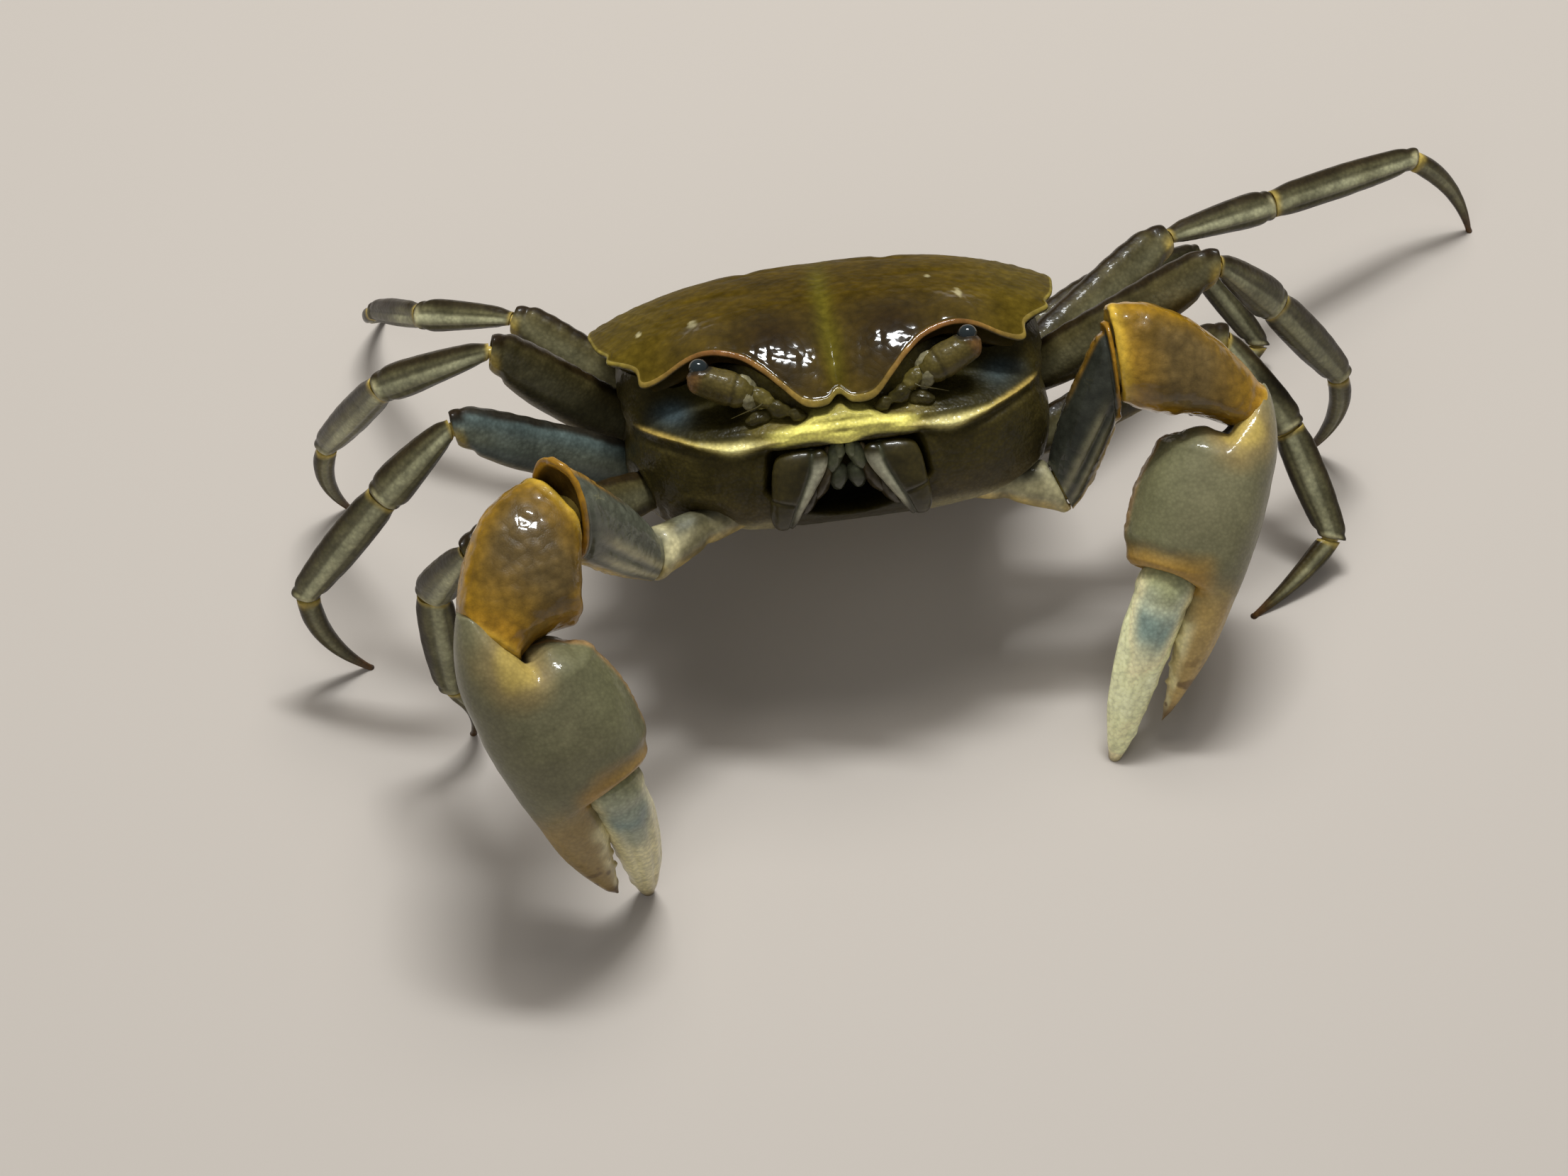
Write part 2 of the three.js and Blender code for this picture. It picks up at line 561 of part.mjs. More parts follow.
// The arm's outlines are in millimetres: [share of the length, upper half, lower half, side half]. The
// left arm is more folded.
const ISCHIUM = [[0, 1.6, 1.6, 1.7], [0.3, 1.8, 1.8, 1.8], [0.6, 1.7, 1.7, 1.7], [0.9, 2.0, 2.0, 1.9],
  [1, 1.8, 1.8, 1.7]];
const ARM_OUTLINES = {
  left: {
    ischium: ISCHIUM,
    merus: [[0, 2.0, 2.1, 1.9], [0.2, 2.6, 2.4, 2.4], [0.5, 3.0, 2.3, 2.8], [0.82, 3.1, 2.1, 2.9],
      [1, 3.0, 1.9, 2.7]],
    carpus: [[0, 4.2, 3.0, 2.5], [0.12, 5.2, 3.3, 3.3], [0.3, 6.1, 3.0, 4.0], [0.42, 6.2, 2.5, 4.2],
      [0.6, 5.6, 1.9, 4.1], [0.8, 4.4, 1.6, 3.6], [0.93, 3.3, 1.6, 3.0], [1, 2.8, 1.8, 2.5]],
  },
  right: {
    ischium: ISCHIUM,
    merus: [[0, 2.0, 2.1, 1.9], [0.2, 2.7, 2.6, 2.4], [0.5, 3.1, 3.1, 2.9], [0.82, 3.3, 3.4, 3.1],
      [1, 3.3, 3.6, 2.9]],
    carpus: [[0, 4.2, 2.2, 2.5], [0.12, 5.2, 3.2, 3.3], [0.3, 6.1, 4.6, 4.0], [0.42, 6.3, 5.2, 4.2],
      [0.6, 5.9, 4.1, 4.1], [0.8, 4.9, 2.9, 3.6], [0.93, 3.9, 2.6, 3.0], [1, 3.3, 2.6, 2.5]],
  },
};
const ARM_SIZE = [1, 1];

// ---- assembly -----------------------------------------------------------------------------------
const [ELBOW, WRIST] = [2, 3];            // numbers of a claw's joints before and after its carpus
// Share of the carpus in the direction the elbow faces, and how far past its joint the merus reaches.
const ELBOWS = { left: [1.5, -0.8], right: [1.35, 1.0] };
const WRIST_SHIFT = 0.8;                 // how far past its joint the carpus reaches

// Plane between two plates: through their joint, square to the mean of their directions. A claw's
// wrist is square to the plate before it, and its elbow faces more along the plate after it. A leg has
// no elbow.
function jointPlane(points, i, elbow) {
  const before = points[i].clone().sub(points[i - 1]).normalize();
  const after = points[i + 1].clone().sub(points[i]).normalize();
  const normal = before.clone().add(after).normalize();
  const point = points[i].clone();
  if (elbow && i === WRIST) {
    normal.copy(before);
    point.addScaledVector(normal, WRIST_SHIFT);
  }
  if (elbow && i === ELBOW) {
    const [turn, shift] = elbow;
    normal.copy(before).addScaledVector(after, turn).normalize();
    point.addScaledVector(normal, shift);
  }
  return { point, normal };
}

// Where a plate's long lines meet the joints at its two ends, half the gap short of each.
function plateEnds(points, i, frame, elbow) {
  const inverse = frame.clone().invert();
  const length = points[i].distanceTo(points[i + 1]);
  const meet = (joint, setBack) => {
    const { point, normal } = jointPlane(points, joint, elbow);
    const origin = point.clone().addScaledVector(normal, setBack).applyMatrix4(inverse);
    const slope = normal.clone().transformDirection(inverse);
    return (p) => origin.x - ((p.y - origin.y) * slope.y + (p.z - origin.z) * slope.z) / slope.x;
  };
  return {
    near: i === 0 ? () => -SOCKET_DEPTH : meet(i, GAP / 2),
    far: i === 4 ? () => length : meet(i + 1, -GAP / 2),
  };
}

function buildLimb(side, name, kindName) {
  const kind = KINDS[kindName];
  const prefix = side > 0 ? 'left' : 'right';
  const points = limbPoints(side, kind, STANCE[`${prefix}_${kindName}`]);
  const isClaw = kindName === 'claw';
  const elbow = isClaw ? ELBOWS[prefix] : null;
  const names = isClaw ? CLAW_PLATES : LEG_PLATES;
  const forward = isClaw ? CLAW_FACE : bodyForward;
  let carpusRoom = null;
  const plates = names.map((plate, i) => {
    const frame = plateFrame(points, i, forward);
    const ends = plateEnds(points, i, frame, elbow);
    const size = isClaw ? ARM_SIZE : LEG_SIZES[kindName][plate];
    const outline = (isClaw ? ARM_OUTLINES[prefix] : OUTLINES)[plate];
    const inPlace = (geometry) => toSolid(geometry, frame);
    if (plate === 'palm' || plate === 'finger') {
      return { plate, frame, solid: clawPlate(plate, side, prefix, points, carpusRoom) };
    }
    if (plate === 'dactyl') {
      const length = points[i].distanceTo(points[i + 1]);
      return { plate, frame, solid: inPlace(dactylGeometry(frame, length, size, ends)) };
    }
    const room = {
      near: i === ELBOW - 1 ? (p) => ends.near(p) - GAP : ends.near,
      far: (p) => ends.far(p) + GAP,
    };
    if (isClaw && plate === 'carpus') carpusRoom = inPlace(plateGeometry(size, outline, room, GAP));
    const grown = i < ELBOW ? inPlace(plateGeometry(size, outline, room, GAP)) : null;
    return { plate, frame, grown, solid: inPlace(plateGeometry(size, outline, ends)) };
  });
  return plates.map((made) => ({ ...made, name: `${name}_${made.plate}` }));
}

// The palm makes room for the carpus at the wrist and for the root of the moving finger.
function clawPlate(plate, side, prefix, points, carpusRoom) {
  const claw = clawFrame(side, points[WRIST], points[WRIST + 1]);
  const [hinge, tip] = [points[WRIST + 1], points[WRIST + 2]];
  if (plate === 'finger') return toSolid(fingerGeometry(claw, hinge, tip, 0));
  return toSolid(palmGeometry(claw, prefix))
    .subtract(carpusRoom)
    .subtract(toSolid(fingerGeometry(claw, hinge, tip, GAP)));
}

const LIMB_MATERIAL = {
  claw: { ischium: BELLY, merus: ARM, carpus: ARM, palm: PALM, finger: FINGER },
};

function crab() {
  const group = new THREE.Group();
  const body = new THREE.Group();
  body.position.set(0, 0, BODY_HEIGHT);
  body.rotation.copy(bodyTurn);
  group.add(body);

  const limbs = [];
  for (const side of [1, -1]) {
    for (const kindName of Object.keys(KINDS)) {
      const plates = buildLimb(side, `${side > 0 ? 'left' : 'right'}_${kindName}`, kindName);
      limbs.push({ kindName, plates });
    }
  }

  const carapace = toSolid(carapaceGeometry());
  const toBody = bodyMatrix.clone().invert();
  let lower = toSolid(loft(LEVELS.map(levelRing)));
  lower = lower.subtract(toSolid(aboveCarapace()));
  lower = lower.subtract(toSolid(abdomenStrip(GAP)));
  lower = lower.subtract(toSolid(mouthHollow()));
  for (const side of [1, -1]) {
    lower = lower.subtract(toSolid(orbitHollow(side)));
    lower = lower.subtract(toSolid(stalkGeometry(side, GAP)));
  }
  for (const limb of limbs) {
    for (const { grown } of limb.plates) {
      if (grown) lower = lower.subtract(toSolid(toGeometry(grown), toBody));
    }
  }

  body.add(mesh('carapace', toGeometry(carapace), SHELL));
  body.add(mesh('lower_shell', toGeometry(lower), FACE));
  body.add(mesh('abdomen', abdomenStrip(0), BELLY));
  for (const [side, prefix] of [[1, 'left'], [-1, 'right']]) {
    body.add(mesh(`${prefix}_maxilliped`, maxilliped(side), BELLY));
    body.add(mesh(`${prefix}_eyestalk`, stalkWithSocket(side), STALK));
    body.add(mesh(`${prefix}_eye`, corneaGeometry(side, 0), CORNEA));
  }

  for (const limb of limbs) {
    for (const { name, plate, solid, frame } of limb.plates) {
      const material = LIMB_MATERIAL[limb.kindName]?.[plate] ?? LEG;
      const geometry = toGeometry(solid).applyMatrix4(frame.clone().invert());
      const piece = mesh(name, geometry, material);
      frame.decompose(piece.position, piece.quaternion, piece.scale);
      group.add(piece);
    }
  }
  group.position.copy(FOOTPRINT_CENTRE).negate();
  return group;
}

export default crab();
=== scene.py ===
"""Shore crab at life size: fine shells, joints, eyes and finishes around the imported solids.

The shapes are worked out in millimetres, in the body's own frame (carapace centre at the origin, front
towards -Y) or in the frame the crab stands in, and are turned into metres when a mesh is made. A side is
1 for the crab's left, which is at +X, and -1 for its right.
"""
import math
from functools import partial
from itertools import product

import bpy
import numpy as np
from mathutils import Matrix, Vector


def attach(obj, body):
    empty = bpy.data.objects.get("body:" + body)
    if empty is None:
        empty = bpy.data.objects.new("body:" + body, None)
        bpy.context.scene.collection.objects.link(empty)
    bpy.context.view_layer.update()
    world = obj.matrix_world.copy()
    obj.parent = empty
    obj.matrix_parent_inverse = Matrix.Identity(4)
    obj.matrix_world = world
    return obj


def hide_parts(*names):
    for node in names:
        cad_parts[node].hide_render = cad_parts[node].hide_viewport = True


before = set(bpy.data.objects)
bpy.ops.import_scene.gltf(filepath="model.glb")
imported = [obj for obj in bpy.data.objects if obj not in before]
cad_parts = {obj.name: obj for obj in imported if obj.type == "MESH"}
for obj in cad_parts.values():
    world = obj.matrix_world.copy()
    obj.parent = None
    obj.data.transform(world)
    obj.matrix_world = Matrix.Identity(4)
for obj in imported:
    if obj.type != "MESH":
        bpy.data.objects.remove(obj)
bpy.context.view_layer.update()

# ---- driving dimensions, millimetres and degrees ---------------------------------------------------
MM = 0.001
GAP = 0.3                                    # clearance between neighbouring plates
BODY_HEIGHT = 28.0                           # centre of the carapace above the ground
BODY_PITCH = 37.0                            # the front is raised
BODY_ROLL = 4.0                              # the left side is raised
CROWN = 4.1                                  # crown of the carapace above its side margin
RIM = 0.9                                    # thickness of the carapace margin
SHELL_FLOOR = -2.2                           # underside of the carapace below its centre
BOW = 0.1                                    # bend of a dactyl, as a share of its joint's height
SIDE_CORNER, CORNER = 0.8, 0.9               # powers that square the corners of a section
TOE = 0.35                                   # radius of the flat under a leg tip
CLAW_TOE = 0.6                               # radius of the flat under a claw tip
SOCKET_DEPTH = 3.0                           # the first plate starts this far inside the body
NEARLY_STRAIGHT = 0.1                        # bend under which a plate's upper edge is its top
SKIN_REACH = 1.6                             # how far a joint's skin goes into the plates beside it
ELBOW, WRIST = 2, 3                          # numbers of a claw's joints before and after its carpus
# By side: share of the carpus in the direction the elbow faces, and how far past it the merus reaches.
ELBOWS = {1: (1.5, -0.8), -1: (1.35, 1.0)}
WRIST_SHIFT = 0.8                            # how far past its joint the carpus reaches
SIDE_NAMES = {1: "left", -1: "right"}
FOOTPRINT_CENTRE = np.array([9.96, -9.45, 0.0])   # in the standing frame; the model is centred on it

# Camera, as the crab is seen: the view's height and side angle, what it looks at and from how far.
VIEW_HEIGHT = 54.0
VIEW_SIDE = -4.45
VIEW_TARGET = np.array([-5.17, -22.5, 15.0])
VIEW_DISTANCE = 350.0
LENS = 86.26
SENSOR = 36.0


# ---- colours ---------------------------------------------------------------------------------------
def srgb(red, green, blue):
    """Linear colour of a red, green and blue from 0 to 255."""
    v = np.array([red, green, blue], float) / 255
    return np.where(v <= 0.04045, v / 12.92, ((v + 0.055) / 1.055) ** 2.4)


SHELL_BROWN = srgb(78, 62, 15)
SHELL_OUTER = srgb(84, 70, 21)
LOBE_BROWN = srgb(40, 28, 6)
MEDIAN_GREEN = srgb(88, 80, 24)
BEAD_ORANGE = srgb(134, 90, 46)
CREST_TAN = srgb(170, 132, 84)
MARGIN_YELLOW = srgb(140, 124, 54)
ORBIT_BLUE = srgb(66, 78, 80)
# Dark olive of the orbits, also painted as shade under the shell's margin.
ORBIT_DARK_AND_SHADE = srgb(44, 39, 14)
# Pale cream of the ridge under the eyes, and its painted highlight.
RIDGE_CREAM_AND_HIGHLIGHT = srgb(232, 222, 150)
RIDGE_YELLOW = srgb(184, 164, 84)
CHEEK_BROWN = srgb(62, 54, 22)
CHEEK_LIGHT = srgb(78, 66, 40)
EPISTOME_YELLOW = srgb(246, 234, 122)
SEPTUM_OLIVE = srgb(112, 100, 46)
# Dark brown: painted shade in hollows, sockets and joint ends, and the dark marks on the eyestalks.
SHADE_AND_DARK_MARKS = srgb(26, 21, 12)
# Black painted as shade deep in the mouth.
MOUTH_SHADE_BLACK = srgb(12, 10, 7)
BELLY_CREAM = srgb(168, 158, 118)
MOUTH_PALE = srgb(176, 172, 146)
MOUTH_GREEN = srgb(88, 90, 66)
STALK_BROWN = srgb(80, 69, 31)
STALK_ORANGE = srgb(118, 86, 48)
EYE_DARK = srgb(34, 42, 44)
SKIN_YELLOW = srgb(196, 170, 84)
BONE = srgb(206, 196, 150)
ARM_GREY = srgb(78, 80, 68)
ARM_ORANGE = srgb(154, 112, 28)
ARM_YELLOW = srgb(208, 172, 62)
CARPUS_BROWN = srgb(88, 71, 38)
CARPUS_AMBER = srgb(130, 96, 8)
PALM_OLIVE = srgb(112, 108, 80)
PALM_TAN = srgb(158, 132, 78)
PALM_GREEN = srgb(96, 96, 66)
BAND_AMBER = srgb(168, 130, 56)
TIP_BROWN = srgb(84, 54, 24)
FINGER_BLUE = srgb(128, 146, 136)
FINGER_GREEN = srgb(150, 146, 98)
FINGER_CREAM = srgb(236, 226, 176)
LEG_BLUE = srgb(84, 97, 94)
LEG_FAR = srgb(92, 87, 58)
LEG_OLIVE = srgb(78, 70, 40)
LEG_LIGHT = srgb(166, 164, 130)
LEG_EDGE = srgb(34, 23, 8)
FLOOR_PALE = srgb(188, 180, 171)
# How pale a plate is painted, by side.
MERUS_TONE = {1: 0.42, -1: 1.45}
CARPUS_TONE = {1: 1.3, -1: 1.1}
PALM_TONE = {1: 1.17, -1: 1.0}
FIXED_TIP_TONE = {1: 1.3, -1: 0.95}
FINGER_TONE = {1: 1.35, -1: 0.9}
TIP_TAN = {1: 0.1, -1: 0.75}                 # how tan the moving finger's tip is
LEG_TONE = {1: 0.9, -1: 1.15}


def mix(colour, other, share):
    """A colour moved towards another by a share that may differ from point to point."""
    share = np.clip(np.asarray(share, float), 0, 1)[..., None]
    return colour * (1 - share) + np.asarray(other) * share


def layered(grid, base, layers):
    """A base colour over a grid, with layers of (colour, share) over it one after another."""
    colour = np.broadcast_to(base, grid.shape)
    for other, share in layers:
        colour = mix(colour, other, share)
    return colour


# ---- falls, bumps and noise ------------------------------------------------------------------------
def smooth(low, high, value):
    """0 below low, 1 above high and a smooth step between them. Low may be above high."""
    t = np.clip((value - low) / (high - low), 0, 1)
    return t * t * (3 - 2 * t)


def window(rise, full, fade, end, value):
    """1 from full to fade, and 0 before rise and after end."""
    return smooth(rise, full, value) * smooth(end, fade, value)


def bell(value, middle, width):
    return np.exp(-((value - middle) / width) ** 2)


def twin_bells(value, middle, width):
    return bell(value, middle, width) + bell(value, -middle, width)


def hump(x, y, cx, cy, width):
    return np.exp(-((x - cx) ** 2 + (y - cy) ** 2) / (2 * width ** 2))


def lattice(cells, seed):
    """A fixed number from -1 to 1 for each whole-numbered cell."""
    x, y, z = (cells[..., k].astype(np.int64) for k in range(3))
    n = (x * 73856093) ^ (y * 19349663) ^ (z * 83492791) ^ (seed * 2654435761)
    n = (n ^ (n >> 13)) & 0x7FFFFFFF
    n = (n * 1274126177 + 12345) & 0x7FFFFFFF
    n = (n ^ (n >> 15)) & 0xFFFF
    return n / 32767.5 - 1


def noise(points, size, seed=0):
    """Soft noise from -1 to 1 with bumps about as wide as size."""
    scaled = np.asarray(points) / size
    cell = np.floor(scaled)
    t = scaled - cell
    t = t * t * (3 - 2 * t)
    total = 0
    for corner in product((0, 1), repeat=3):
        share = np.where(corner, t, 1 - t)
        total = total + lattice(cell + corner, seed) * (share[..., 0] * share[..., 1]) * share[..., 2]
    return total


def clouds(points, size, seed=0):
    """Noise with three finer layers."""
    return sum(noise(points, size / 2 ** k, seed + k) / 2 ** k for k in range(3)) / 1.75


def mottled(colour, grid, strength, size, seed):
    return colour * (1 + strength * clouds(grid, size, seed))[..., None]


# ---- curves and grids ------------------------------------------------------------------------------
def smooth_columns(rows, at):
    """Values of a table's columns at places between its rows: smooth, and never past the rows."""
    table = np.array(rows, float)
    x, y = table[:, 0], table[:, 1:]
    step = np.diff(x)[:, None]
    slope = np.diff(y, axis=0) / step
    tangent = np.zeros_like(y)
    same_way = slope[:-1] * slope[1:] > 0
    total = np.where(same_way, slope[:-1] + slope[1:], 1)
    tangent[1:-1] = np.where(same_way, 2 * slope[:-1] * slope[1:] / total, 0)
    tangent[0], tangent[-1] = slope[0], slope[-1]
    at = np.clip(np.asarray(at, float), x[0], x[-1])
    k = np.clip(np.searchsorted(x, at) - 1, 0, len(x) - 2)
    h = step[k]
    t = ((at - x[k]) / h[..., 0])[..., None]
    values = (
        (2 * t ** 3 - 3 * t ** 2 + 1) * y[k] + (t ** 3 - 2 * t ** 2 + t) * h * tangent[k]
        + (3 * t ** 2 - 2 * t ** 3) * y[k + 1] + (t ** 3 - t ** 2) * h * tangent[k + 1]
    )
    return np.moveaxis(values, -1, 0)


def numbered(rows):
    """Rows with their numbers in front, as smooth_columns takes them."""
    return [(k, *row) for k, row in enumerate(rows)]


def closed_curve(points, steps):
    """A smooth closed line through points, with the same number of steps between each two."""
    p = np.array(points, float)
    t = (np.arange(steps) / steps)[None, :, None]
    a, b, c, d = (np.roll(p, shift, 0)[:, None, :] for shift in (1, 0, -1, -2))
    curve = 0.5 * (2 * b + (c - a) * t + (2 * a - 5 * b + 4 * c - d) * t ** 2
                   + (3 * b - 3 * c + d - a) * t ** 3)
    return curve.reshape(-1, p.shape[1])


def unit(v):
    v = np.asarray(v, float)
    return v / (np.linalg.norm(v, axis=-1, keepdims=True) + 1e-12)


def normals(grid):
    """Outward unit normals of a grid that closes round in its second direction."""
    around = np.roll(grid, -1, 1) - np.roll(grid, 1, 1)
    n = unit(np.cross(np.gradient(grid, axis=0), around))
    outward = np.sum(n * (grid - grid.mean(axis=(0, 1))))
    return n if outward > 0 else -n


def raised(grid, height):
    """A grid moved out along its normals."""
    return grid + normals(grid) * height[..., None]


def ring(count, shift=0.0):
    """Cosines and sines of even angles all the way round. The shift is a share of one step."""
    angle = (np.arange(count) + shift) / count * 2 * math.pi
    return np.cos(angle), np.sin(angle)


def squared(value, power):
    """A cosine or sine that squares the corners of its ring when the power is under 1."""
    return np.sign(value) * np.abs(value) ** power


def tube(centres, across, up, wide, high, count, powers=(1, 1)):
    """A grid of rings round a line of centres, and the cosines and sines round it."""
    c, s = ring(count)
    across, up = (np.broadcast_to(way, centres.shape)[:, None] for way in (across, up))
    out = (wide[:, None] * squared(c, powers[0]))[..., None] * across
    lift = (high[:, None] * squared(s, powers[1]))[..., None] * up
    return centres[:, None] + out + lift, c, s


def shape(grid, colours):
    """A closed skin over a grid, with a fan over each end: (points, quads, triangles, colours).

    A colour is red, green and blue, and may have how wet the shell is there as a fourth number.
    """
    rows, cols = grid.shape[:2]
    points = np.concatenate([grid.reshape(-1, 3), grid[:1].mean(1), grid[-1:].mean(1)])
    paint = np.broadcast_to(colours, grid.shape[:2] + np.shape(colours)[-1:])
    paint = np.concatenate([paint.reshape(rows * cols, -1), paint[:1].mean(1), paint[-1:].mean(1)])
    r, c = np.meshgrid(np.arange(rows - 1), np.arange(cols), indexing="ij")
    a, b = r * cols + c, r * cols + (c + 1) % cols
    quads = np.stack([a, b, b + cols, a + cols], -1).reshape(-1, 4)
    start = np.arange(cols)
    after = (start + 1) % cols
    last = (rows - 1) * cols
    first_fan = np.stack([np.full(cols, rows * cols), after, start], -1)
    last_fan = np.stack([np.full(cols, rows * cols + 1), last + start, last + after], -1)
    triangles = np.concatenate([first_fan, last_fan])
    corner = points[np.concatenate([quads[:, :3], quads[:, [0, 2, 3]], triangles])]
    volume = np.sum(corner[:, 0] * np.cross(corner[:, 1], corner[:, 2]))
    if volume < 0:
        quads, triangles = quads[:, ::-1], triangles[:, ::-1]
    return points, quads, triangles, paint


def mirrored(made):
    """The same shape on the other side of the body."""
    points, quads, triangles, paint = made
    return points * np.array([-1, 1, 1]), quads[:, ::-1], triangles[:, ::-1], paint


def placed(made, matrix):
    """A shape moved by a 4 x 4 matrix."""
    points, *rest = made
    return points @ matrix[:3, :3].T + matrix[:3, 3], *rest


def new_object(name, data):
    made = bpy.data.objects.new(name, data)
    bpy.context.scene.collection.objects.link(made)
    return made


def mesh_piece(name, shapes, material, nodes=()):
    """One object that rides on the crab, from shapes in the standing frame in millimetres."""
    corners, sizes = [], []
    start = 0
    for points, quads, triangles, _ in shapes:
        corners += [(quads + start).ravel(), (triangles + start).ravel()]
        sizes += [np.full(len(quads), 4), np.full(len(triangles), 3)]
        start += len(points)
    points = (np.concatenate([made[0] for made in shapes]) - FOOTPRINT_CENTRE) * MM
    colours = np.clip(np.concatenate([made[3] for made in shapes]), 0, 1)
    corners, sizes = np.concatenate(corners), np.concatenate(sizes)
    mesh = bpy.data.meshes.new(name)
    mesh.vertices.add(len(points))
    mesh.vertices.foreach_set("co", points.ravel())
    mesh.loops.add(len(corners))
    mesh.loops.foreach_set("vertex_index", corners.astype(np.int32))
    mesh.polygons.add(len(sizes))
    mesh.polygons.foreach_set("loop_start", (np.cumsum(sizes) - sizes).astype(np.int32))
    mesh.polygons.foreach_set("use_smooth", np.ones(len(sizes), bool))
    mesh.update(calc_edges=True)
    mesh.validate()
    rgba = np.ones((len(colours), 4), np.float32)
    rgba[:, :colours.shape[1]] = colours
    layer = mesh.attributes.new("paint", "FLOAT_COLOR", "POINT")
    layer.data.foreach_set("color", rgba.ravel())
    mesh.materials.append(material)
    piece = new_object(name, mesh)
    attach(piece, "root")
    if nodes:
        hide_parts(*nodes)


# ---- finishes --------------------------------------------------------------------------------------
COAT_ROUGHNESS = 0.09
BLOTCH, SPECKLE, PORE = 2.6, 0.55, 0.16      # widths of the patterns in a shell, mm
PORE_DEPTH = 0.4                             # depth of the pores as a share of the granules' depth
NOISE_SPAN = (0.3, 0.7)                      # a noise texture's values mostly lie in here


def shell_material(name, grain, depth, rough, coat, mottle=0.3, speckle=0.16, shine=0.35):
    """Wet chitin: painted colour, blotches, and granules a grain apart and a depth high, in mm."""
    material = bpy.data.materials.new(name)
    material.use_nodes = True
    tree = material.node_tree
    new, link = tree.nodes.new, tree.links.new
    shader = tree.nodes["Principled BSDF"]
    place = new("ShaderNodeTexCoord").outputs["Object"]
    paint = new("ShaderNodeAttribute")
    paint.attribute_name = "paint"

    def texture(kind, size, **sockets):
        node = new(kind)
        node.inputs["Scale"].default_value = 1 / (size * MM)
        for key, value in sockets.items():
            node.inputs[key].default_value = value
        link(place, node.inputs["Vector"])
        return node

    def remap(source, low, high, to_low, to_high):
        node = new("ShaderNodeMapRange")
        for key, value in zip(("From Min", "From Max", "To Min", "To Max"), (low, high, to_low, to_high)):
            node.inputs[key].default_value = value
        link(source, node.inputs["Value"])
        return node.outputs["Result"]

    def times(colour, share):
        node = new("ShaderNodeMix")
        node.data_type = "RGBA"
        node.blend_type = "MULTIPLY"
        node.inputs["Factor"].default_value = 1
        link(colour, node.inputs[6])
        link(share, node.inputs[7])
        return node.outputs[2]

    def bump(height):
        node = new("ShaderNodeBump")
        node.inputs["Distance"].default_value = height * MM
        return node

    blotch = texture("ShaderNodeTexNoise", BLOTCH, Detail=4, Roughness=0.6).outputs["Fac"]
    fine = texture("ShaderNodeTexNoise", SPECKLE, Detail=3, Roughness=0.7).outputs["Fac"]
    granules = texture("ShaderNodeTexVoronoi", grain).outputs["Distance"]
    pores = texture("ShaderNodeTexNoise", PORE, Detail=2, Roughness=0.6).outputs["Fac"]
    colour = times(paint.outputs["Color"], remap(blotch, *NOISE_SPAN, 1 - mottle, 1 + mottle))
    colour = times(colour, remap(fine, *NOISE_SPAN, 1 - speckle, 1 + speckle))
    colour = times(colour, remap(granules, 0.1, 0.8, 1 + speckle, 1 - speckle))
    link(colour, shader.inputs["Base Color"])
    link(remap(blotch, *NOISE_SPAN, rough - 0.07, rough + 0.1), shader.inputs["Roughness"])
    first, second = bump(depth), bump(depth * PORE_DEPTH)
    link(remap(granules, 0, 0.8, 1, 0), first.inputs["Height"])
    link(pores, second.inputs["Height"])
    link(first.outputs["Normal"], second.inputs["Normal"])
    link(second.outputs["Normal"], shader.inputs["Normal"])
    link(first.outputs["Normal"], shader.inputs["Coat Normal"])
    wet = paint.outputs["Alpha"]
    link(remap(wet, 0, 1, 0, shine), shader.inputs["Specular IOR Level"])
    link(remap(wet, 0, 1, 0, coat), shader.inputs["Coat Weight"])
    shader.inputs["Coat Roughness"].default_value = COAT_ROUGHNESS
    return material


SHELL = shell_material("carapace_shell", 0.9, 0.036, 0.4, 0.9, shine=0.05)
FACE = shell_material("face_shell", 0.34, 0.03, 0.45, 0.2, shine=0.2)
BELLY = shell_material("belly_shell", 0.5, 0.012, 0.4, 0.4)
STALK = shell_material("eyestalk_shell", 0.34, 0.022, 0.42, 0.3, shine=0.25)
CORNEA = shell_material("cornea", 0.09, 0.0015, 0.12, 1.0, mottle=0.1, speckle=0.05)
ARM = shell_material("arm_shell", 1.0, 0.06, 0.4, 0.8, shine=0.2)
PALM = shell_material("palm_shell", 0.34, 0.012, 0.45, 0.5, mottle=0.12, speckle=0.1, shine=0.2)
FINGER = shell_material("finger_shell", 0.4, 0.008, 0.38, 0.4, mottle=0.12)
LEG = shell_material("leg_shell", 0.4, 0.016, 0.42, 0.2, shine=0.2)
SKIN = shell_material("joint_skin", 0.6, 0.010, 0.4, 0.5, mottle=0.15)


# ---- body frame ------------------------------------------------------------------------------------
def turned(axis, degrees):
    c, s = math.cos(math.radians(degrees)), math.sin(math.radians(degrees))
    if axis == "x":
        return np.array([[1, 0, 0], [0, c, -s], [0, s, c]])
    return np.array([[c, 0, s], [0, 1, 0], [-s, 0, c]])


BODY = np.eye(4)
BODY[:3, :3] = turned("x", -BODY_PITCH) @ turned("y", -BODY_ROLL)
BODY[:3, 3] = (0, 0, BODY_HEIGHT)
BODY_FORWARD = BODY[:3, :3] @ np.array([0.0, -1.0, 0.0])


def on_body(made):
    return placed(made, BODY)


def both_sides(made):
    return [on_body(made), on_body(mirrored(made))]


